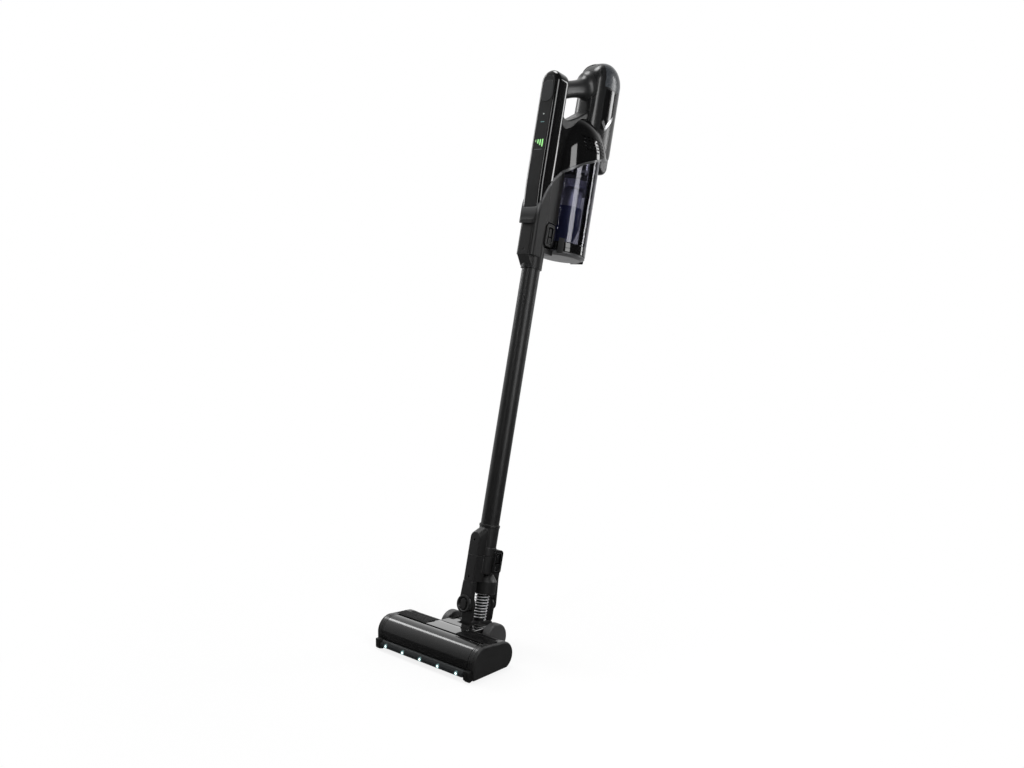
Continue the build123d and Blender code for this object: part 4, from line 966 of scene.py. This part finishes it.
lid_grey = moulding("lid_grey", (0.05, 0.05, 0.052), (0.16, 0.16, 0.16), rough=0.4,
                    grain_size=1600, grain_depth=0.2, highlight_share=0.8)
lid = lathe([(0, 727.1), (38.8, 727.1), (40.0, 727.3), (47.2, 730.5), (47.8, 731.2), (47.8, 734.2),
             (47.3, 734.6), (0, 734.6)], bin_centre, "Z", 120)
eye_line = [(120, 728.3), (120, 732.4), (128, 732.4)] + arc(hinge_at, hinge_r, 90, -90, 12) + [(128, 728.3)]
eye = slab(eye_line, -7.6, 7.6)
piece("bin_lid", add(lid, eye), "bin_door", lid_grey, ["bin_flap"], leaning=True, crease=36)
catch_black = moulding("catch_black", (0.010, 0.010, 0.0102), (0.06, 0.06, 0.06), rough=0.35,
                       grain_size=1500, grain_depth=0.2, highlight_share=0.8, rounding=0.0008)
paint(catch_black, "flap_latch")


# ---- Cyclone and filter ----------------------------------------------------
# Navy cyclone core, lavender grey in its upper part, with a fine metal
# screen above its shroud and the pleated filter ring on top.
core_blend, tree = new_material("core_blend")
spot = object_place(tree)
split = node(tree, "ShaderNodeSeparateXYZ", (-700, 0), {0: spot})
upper_share = ranged(tree, split.outputs["Z"], (0.845, 0.855), place=(-450, 0))
cloud = node(tree, "ShaderNodeTexNoise", (-450, -250), {"Vector": spot, "Scale": 40.0})
pick = node(tree, "ShaderNodeMix", (-150, 0), {
    "Factor": upper_share, "A": (0.036, 0.044, 0.13, 1), "B": (0.36, 0.36, 0.46, 1)}, data_type="RGBA")
dull = ranged(tree, cloud.outputs["Fac"], (0, 1), (0.75, 1.2), (-150, -250))
tinted = node(tree, "ShaderNodeVectorMath", (200, 0), {0: pick.outputs["Result"], "Scale": dull},
              operation="SCALE")
body = node(tree, "ShaderNodeBsdfPrincipled", (600, 0), {"Roughness": 0.3, "Base Color": tinted.outputs[0]})
node(tree, "ShaderNodeOutputMaterial", (900, 0), {"Surface": body.outputs[0]})
paint(core_blend, "cyclone_core")

mesh_weave, tree = new_material("mesh_weave")
holes = node(tree, "ShaderNodeTexVoronoi", (-400, 0),
             {"Vector": object_place(tree), "Scale": 700.0, "Randomness": 0.15})
weave = ramp(tree, holes.outputs["Distance"], (0.3, (0.02, 0.02, 0.03)), (0.42, (0.5, 0.5, 0.62)), (-100, 0))
wire_skin = node(tree, "ShaderNodeBsdfPrincipled", (400, 0),
                 {"Metallic": 0.7, "Roughness": 0.4, "Base Color": weave})
node(tree, "ShaderNodeOutputMaterial", (700, 0), {"Surface": wire_skin.outputs[0]})
paint(mesh_weave, "mesh_screen")

pleat_sides = 144
pleats = bmesh.new()
pleat_turns = [2 * pi * i / pleat_sides for i in range(pleat_sides)]
fold_radii = [37.4, 40.8] * (pleat_sides // 2)
fold = [(r * cos(t), bin_y + r * sin(t)) for r, t in zip(fold_radii, pleat_turns)]
hub = [(8.1 * cos(t), bin_y + 8.1 * sin(t)) for t in pleat_turns]
rows = [[pleats.verts.new((a, b, h)) for a, b in line]
        for line, h in ((fold, 866.2), (fold, 878.8), (hub, 878.8), (hub, 866.2))]
join_rows(pleats, rows + rows[:1])
filter_pale = moulding("filter_pale", (0.42, 0.42, 0.52), (0.5, 0.5, 0.58), rough=0.85,
                       grain_size=900, grain_depth=0.6, highlight_share=0.5)
piece("filter_ring", pleats, "dust_bin", filter_pale, ["bin_filter"], leaning=True, crease=20)


# ---- Motor hood ------------------------------------------------------------
# High-gloss bullet dome over the motor, hollow, with rows of short air slots
# at its rear flanks. A grey plate under its lower edge carries the band round.
dome_stations = [(850, 86, 47, 66), (885, 86, 47, 68.6), (920, 86, 47, 70), (945, 85.5, 45.4, 67.0),
                 (962, 84.5, 42, 60.5), (978, 82.3, 36.6, 51.5), (990, 79.5, 30, 41.5),
                 (1000, 75.8, 21.5, 29.5), (1006.5, 72.6, 13.5, 18.0), (1010.0, 70.6, 7.2, 9.6),
                 (1010.9, 70, 2.6, 3.4)]


def dome(inset, around=112):
    """Stack of ellipses through the stations, smoothed and closed."""
    turns = [2 * pi * i / around for i in range(around)]
    sections = []
    for h, mid, rx, ry in smoothed(dome_stations, 4):
        if rx - inset > 1.0:
            line = [((rx - inset) * cos(t), mid + (ry - inset) * sin(t)) for t in turns]
            sections.append((h - (inset if h > 990 else 0.0), line))
    return stacked(sections, 1, "Z")


hood_piece = piece("hood", dome(0), "handheld", gloss_black, ["motor_hood"],
                   leaning=True, crease=50)
carve(hood_piece, dome(2.4), leaning=True)
carve(hood_piece, beyond_sweep(2.3, False), leaning=True)
slots = bmesh.new()
for row in range(5):
    for column in range(6):
        y, z = 58 + 10.2 * column - 1.6 * row, 939 + 6.0 * row
        slots = add(slots, slab(rounded(y, z, 7.0, 2.3, 1.0, 3), -60, 60))
carve(hood_piece, slots, leaning=True)
plate_piece = piece("hood_plate", dome(-0.9), "handheld", trim_satin, leaning=True, crease=50)
carve(plate_piece, beyond_sweep(2.2, True), leaning=True)
carve(plate_piece, beyond_sweep(-2.2, False), leaning=True)
paint(rubber_black, "motor_mount")
paint(steel_bright, "motor_can")
paint(roller_grey, "motor_fan")


# ---- Saddle and web --------------------------------------------------------
# The joint between spine and tail. A matt saddle forms the floor of the
# finger gap, and the web below it is polished.
saddle_matt = moulding("saddle_matt", (0.011, 0.011, 0.0112), (0.05, 0.05, 0.05), rough=0.36,
                       grain_size=1500, grain_depth=0.2, highlight_share=0.7)
gap_floor = [(-2, 993.5), (3, 989.6), (8, 985.6), (13, 983.8), (19, 984.6), (27, 988.6), (36, 993.4),
             (46, 999.4), (56, 1006.6), (66, 1014.0), (76, 1021.6), (86, 1029.0)]
web = slab([(a, b - 10) for a, b in gap_floor] + [(86, 850), (-2, 850)], -16.6, 16.6)
web_piece = piece("web", web, "handheld", gloss_black, leaning=True, crease=30)
carve(web_piece, beyond_sweep(2.3, False), leaning=True)
low_line = [(a, b - 20 + 0.06 * max(a, 0)) for a, b in gap_floor]
saddle = slab(gap_floor + low_line[::-1], -16.95, 16.95)
soften(saddle, 5.0, 6, 60, lambda p: abs(p.x) > 16)
piece("saddle", saddle, "handheld", saddle_matt, ["web_frame"], leaning=True, crease=30)


# ---- Spine -----------------------------------------------------------------
# Tall gloss front body with a round top. Its broad front shoulders catch
# long highlights, and its front steps back a little above the chin.
spine_face = -34.4


def spine_front(z):
    """Front face of the spine at height z."""
    share = min(max((850 - z) / 65, 0.0), 1.0)
    return spine_face + 3.4 * share


def upright(half, low, top, steps=36):
    """Outline with a round top and a flat foot."""
    return [(-half, low), (half, low)] + arc((0, top - half), half, 0, 180, steps)


def sliced(bm, heights):
    """Add edge loops at given heights."""
    for level in heights:
        bmesh.ops.bisect_plane(bm, geom=bm.verts[:] + bm.edges[:] + bm.faces[:],
                               plane_co=(0, 0, level), plane_no=(0, 0, 1))
    return bm


def tapered(bm):
    """Add edge loops above the chin and move the front back to the front line."""
    sliced(bm, range(785, 856, 13))
    for vert in bm.verts:
        share = min(max((-12 - vert.co.y) / 16, 0.0), 1.0)
        vert.co.y += (spine_front(vert.co.z) - spine_face) * share
    return bm


spine_foot, shoulder = 748, 9.5
rows = [(spine_face, upright(12.9, spine_foot, 1058.4))]
for t in range(80, -1, -10):
    out_by = shoulder * cos(radians(t))
    rows.append((-24.8 - 9.6 * sin(radians(t)), upright(12.9 + out_by, spine_foot, 1058.4 + out_by)))
for y, half, top in ((-8.4, 22.4, 1067.9), (-3.2, 21.85, 1067.35), (-1.4, 21.2, 1066.7),
                     (0.0, 19.9, 1065.4), (0.9, 18.2, 1063.7)):
    rows.append((y, upright(half, spine_foot, top)))
spine = stacked(rows, 1, "Y")
spine_piece = piece("spine", tapered(spine), "handheld", gloss_black, ["spine_shell"],
                    leaning=True, crease=40)
carve(spine_piece, beyond_sweep(2.3, False), leaning=True)


# ---- Control panel and power button ----------------------------------------
# Matt inlay down the front of the spine. The upper part is the display
# panel with the power button at its head, and its lamps and charge bars are
# thin patches of ink lit from behind.
panel_matt = moulding("panel_matt", (0.008, 0.0082, 0.0085), (0.05, 0.05, 0.05), rough=0.42,
                      grain_size=1700, grain_depth=0.06, highlight_share=0.4, rounding=0.0004, ior=1.28)
inlay = slab(upright(14.9, 748.4, 1056.0), -34.55, -33.0, "Y")
soften(inlay, 0.4, 2, 60)
inlay_piece = piece("front_inlay", tapered(inlay), "handheld", panel_matt,
                    leaning=True, crease=40)
carve(inlay_piece, beyond_sweep(2.3, False), leaning=True)
plate = slab(wrap((0, 911), 15.1, (0, 1040.4), 15.1, 30), -34.72, -33.2, "Y")
soften(plate, 0.35, 2, 60)
piece("display_panel", plate, "handheld", panel_matt, ["control_panel"],
      leaning=True, crease=40)

button_grey = moulding("button_grey", (0.013, 0.014, 0.0155), (0.06, 0.06, 0.06), rough=0.42,
                       grain_size=1900, grain_depth=0.1, highlight_share=0.7, ior=1.36)
button_z = 1025.4
button = slab(rounded(0, button_z, 27.6, 41.6, 12.0, 12), -35.45, -31.9, "Y")
soften(button, 1.0, 4, 60, lambda p: p.y < -35)
button_seat = slab(rounded(0, button_z, 29.0, 43.0, 12.7, 12), -34.78, -34.0, "Y")
piece("power_pad", button, "power_key", button_grey, ["power_button"], leaning=True, crease=36)
piece("power_seat", button_seat, "handheld", gloss_black, leaning=True, crease=36)


def glowing_ink(name, colour, power):
    """Ink that glows, with fine uneven print."""
    material, tree = new_material(name)
    print_grain = node(tree, "ShaderNodeTexNoise", (-300, 0), {"Vector": object_place(tree), "Scale": 900.0})
    strength = ranged(tree, print_grain.outputs["Fac"], (0, 1), (power * 0.75, power * 1.2), (0, 0))
    ink = node(tree, "ShaderNodeBsdfPrincipled", (300, 0), {
        "Base Color": (*[0.3 * c for c in colour], 1), "Roughness": 0.4,
        "Emission Color": (*colour, 1), "Emission Strength": strength})
    node(tree, "ShaderNodeOutputMaterial", (600, 0), {"Surface": ink.outputs[0]})
    return material


ink_front, ink_back = -34.86, -34.5


def printed(x, z, wide, tall, r):
    """Thin rounded patch of ink on the panel."""
    return slab(rounded(x, z, wide, tall, r, 3), ink_front, ink_back, "Y")


bar_pitch, first_bar_x = 5.6, -8.8
bars = bmesh.new()
for i in range(1, 4):
    bars = add(bars, printed(first_bar_x + bar_pitch * i, 928.6 - 1.55 * i, 2.9, 5.2 + 3.1 * i, 0.7))
piece("charge_bars", bars, "handheld", glowing_ink("charge_green", (0.36, 0.92, 0.30), 0.85),
      ["display_lights"], leaning=True)
dot = rod(1.15, ink_front, ink_back, (0, 0, 980.5), "Y", 24)
for name, ink_patch, slot, ink in (
        ("first_bar", printed(first_bar_x, 928.4, 2.6, 4.8, 0.7), "light_green",
         glowing_ink("faint_green", (0.30, 0.62, 0.26), 0.5)),
        ("status_dot", dot, "light_green", glowing_ink("status_white", (0.72, 0.8, 0.78), 0.62)),
        ("status_dash", printed(0, 965.0, 9.0, 1.3, 0.6), "light_green",
         glowing_ink("status_teal", (0.20, 0.42, 0.44), 0.3)),
        # The rule is print on the panel, not a lamp: its faint glow is painted light.
        ("panel_rule", printed(0, 911.6, 19.0, 0.9, 0.4), "panel_black",
         glowing_ink("rule_grey", (0.16, 0.17, 0.18), 0.28))):
    piece(name, ink_patch, "handheld", ink, leaning=True)
board_green = moulding("board_green", (0.02, 0.10, 0.05), (0.1, 0.2, 0.1), rough=0.4,
                       grain_size=500, grain_depth=0.4, highlight_share=0.5)
paint(board_green, "control_board")


# ---- Tail ------------------------------------------------------------------
# Stadium-shaped rear housing, rounded along both flanks and vaulted at the
# top. It holds the battery bay and ends in a round lobe behind the bin.
tail_y, tail_r, tail_low, tail_high, tail_half = 118.0, 42.0, 956.0, 1090.0, 33.0


def tail_round(x):
    """Radius of the tail's side outline at a given x."""
    return tail_r * (max(1.0 - abs(x / (tail_half + 0.01)) ** 3.6, 0.0)) ** 0.5


def tail_section(x, grow=0.0):
    """Side outline of the tail at a given x."""
    r = tail_round(x) + grow
    return wrap((tail_y, tail_low), r, (tail_y, tail_high), r, 56)


half_levels = [0, 4, 8, 12, 15, 18, 20.5, 22.5, 24.3, 26, 27.5, 28.8, 29.9, 30.8, 31.5, 32.1, 32.5, 32.8,
               32.95]
levels = [-x for x in half_levels[:0:-1]] + half_levels
tail_satin = moulding("tail_satin", (0.012, 0.0122, 0.0126), (0.06, 0.06, 0.06), rough=0.26,
                      grain_size=1400, grain_depth=0.01, highlight_share=0.0, coat=0.1, rounding=0.0)
tail = sliced(stacked([(x, tail_section(x)) for x in levels]), range(962, 1090, 8))
tail_piece = piece("tail_body", tail, "handheld", tail_satin, ["tail_shell"],
                   leaning=True, crease=50)
cap_y, cap_z = 96, 1078
carve(tail_piece, box((cap_y, 170), (cap_z, 1140), -40, 40), leaning=True)
carve(tail_piece, box((98, 149), (1012, cap_z + 1), -24.3, 24.3), leaning=True)
carve(tail_piece, beyond_sweep(2.3, False), leaning=True)
carve(tail_piece, dome(-0.05), leaning=True)
carve(tail_piece, rod(6.05, 147.9, 165, (0, 0, 985), "Y", 40), leaning=True)
rear_slots = bmesh.new()
for i in range(9):
    rear_slots = add(rear_slots, slab(rounded(0, 1020 + 6.0 * i, 14, 2.4, 1.1, 3), 158.6, 164, "Y"))
carve(tail_piece, rear_slots, leaning=True)

lobe = slab(wrap((141, 930), 16.9, (141, 955), 16.9, 30), -21.9, 21.9)
soften(lobe, 7.8, 7, 60)
lobe_piece = piece("tail_lobe", lobe, "handheld", tail_satin, leaning=True, crease=50)
carve(lobe_piece, rod(48.7, 600, 1100, bin_centre, "Z", 120), leaning=True)
paint(rubber_black, "charge_socket")


# ---- Battery pack ----------------------------------------------------------
# The pack slides out of the top of the tail. Its cap is satin slate and
# closes flush with the tail; the case below it is plain black.
slate = moulding("slate_satin", (0.045, 0.05, 0.056), (0.16, 0.16, 0.17), rough=0.27,
                 grain_size=1600, grain_depth=0.01, highlight_share=0.0, coat=0.15, rounding=0.0)
cap = stacked([(x, tail_section(x)) for x in levels])
cap_piece = piece("pack_cap", cap, "battery_pack", slate, ["battery_cap"],
                  leaning=True, crease=50)
cap_gap = 0.35
carve(cap_piece, box((cap_y + cap_gap, 170), (cap_z + cap_gap, 1140), -40, 40), keep=True, leaning=True)
carve(cap_piece, box((90, 148.6), (1070, 1100), -24, 24), leaning=True)
case_black = moulding("case_black", (0.014, 0.014, 0.0145), (0.06, 0.06, 0.06), rough=0.5,
                      grain_size=1400, grain_depth=0.3, highlight_share=0.7, rounding=0.0008)
paint(case_black, "battery_case")
cell_skin = moulding("cell_skin", (0.05, 0.22, 0.10), (0.2, 0.4, 0.25), rough=0.35,
                     grain_size=800, grain_depth=0.05, highlight_share=0.5)
paint(cell_skin, "battery_cells")


# ---- Tail rim and windows --------------------------------------------------
# A raised oval rim frames the front of the tail where the grip enters. Each
# flank has a gloss window; a bright metal V at its lower end is a painted highlight.
rim = bmesh.new()
rim_wide, rim_high = 1.5, 0.8
path = []
for a, b in wrap((0, 1024), 22.5, (0, 1100.5), 22.5, 26):
    over = max(b - tail_high, 0.0)
    path.append(Vector((a, tail_y - (max(tail_round(a) ** 2 - over ** 2, 0.0)) ** 0.5, b)))
hoops = []
for i, spot in enumerate(path):
    ahead = (path[(i + 1) % len(path)] - path[i - 1]).normalized()
    side_way = ahead.cross(Vector((0, 1, 0))).normalized()
    up_way = side_way.cross(ahead).normalized()
    hoops.append(hoop(rim, spot, side_way * rim_wide, up_way * rim_high, 12))
join_rows(rim, hoops + hoops[:1])
bmesh.ops.remove_doubles(rim, verts=rim.verts, dist=0.01)
piece("tail_rim", rim, "handheld", tail_satin, leaning=True, crease=60)

window_line = [(100.2, 1074.8), (131.8, 1074.8), (131.8, 1018.2), (112.2, 993.2), (100.2, 993.2)]
# Bright V at the window's lower end: a painted highlight, not a part of the tail.
v_highlight_line = [(101.0, 1008), (112.5, 992.5), (133.2, 1019), (133.2, 1029), (112.9, 1003.4), (105.5, 1012.5)]
painted_v_highlight = moulding("painted_v_highlight", (0.42, 0.42, 0.43), (0.6, 0.6, 0.6), rough=0.2,
                       grain_size=1700, grain_depth=0.05, highlight_share=0.5, metal=0.8)
for name, sections, slot, material, stands_for, line, inner_half in (
        ("flank_windows", [(x * 1.006, tail_section(x, 0.1)) for x in levels], "gloss_black", gloss_black,
         ["tail_windows"], window_line, 29.5),
        ("flank_v_highlights", [(x * 1.014, tail_section(x, 0.2)) for x in levels], "trim_grey", painted_v_highlight,
         [], v_highlight_line, 30.5)):
    flank = piece(name, stacked(sections), "handheld", material, stands_for, leaning=True, crease=50)
    carve(flank, slab(line, -40, 40), keep=True, leaning=True)
    carve(flank, box((80, 140), (980, 1090), -inner_half, inner_half), leaning=True)


# ---- Grip ------------------------------------------------------------------
# Round handle bar from spine to tail, moulded with a soft skin. It flares
# like a trumpet where it meets the tail.
grip_skin = moulding("grip_skin", (0.013, 0.0132, 0.0135), (0.06, 0.06, 0.06), rough=0.33,
                     grain_size=1500, grain_depth=0.04, highlight_share=0.7)
grip_from, grip_to = Vector((0, 10.0, 1042.5)), Vector((0, 76.0, 1070.0))
grip_way = (grip_to - grip_from).normalized()
grip_up = Vector((1, 0, 0)).cross(grip_way)
grip = bmesh.new()
grip_stations = [(-14, 14.4, 17.4), (-8, 14.4, 17.4), (-2, 14.4, 17.4), (6, 14.2, 17.0), (16, 13.9, 16.5),
                 (26, 13.8, 16.3), (36, 14.0, 16.6), (44, 14.3, 17.2), (50, 14.8, 18.0), (54, 15.5, 19.0),
                 (57.5, 16.5, 20.4), (60.5, 17.8, 22.2), (63, 19.2, 24.2), (65, 20.6, 26.2),
                 (67, 22.2, 28.4), (72, 24, 31), (76, 24.8, 32.6)]
hoops = [hoop(grip, grip_from + grip_way * s, Vector((rx, 0, 0)), grip_up * rz, 64)
         for s, rx, rz in grip_stations]
join_rows(grip, hoops)
grip.faces.new(hoops[0])
grip.faces.new(hoops[-1])
piece("grip_bar", grip, "handheld", grip_skin, ["grip_handle"], leaning=True, crease=60)


low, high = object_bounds()
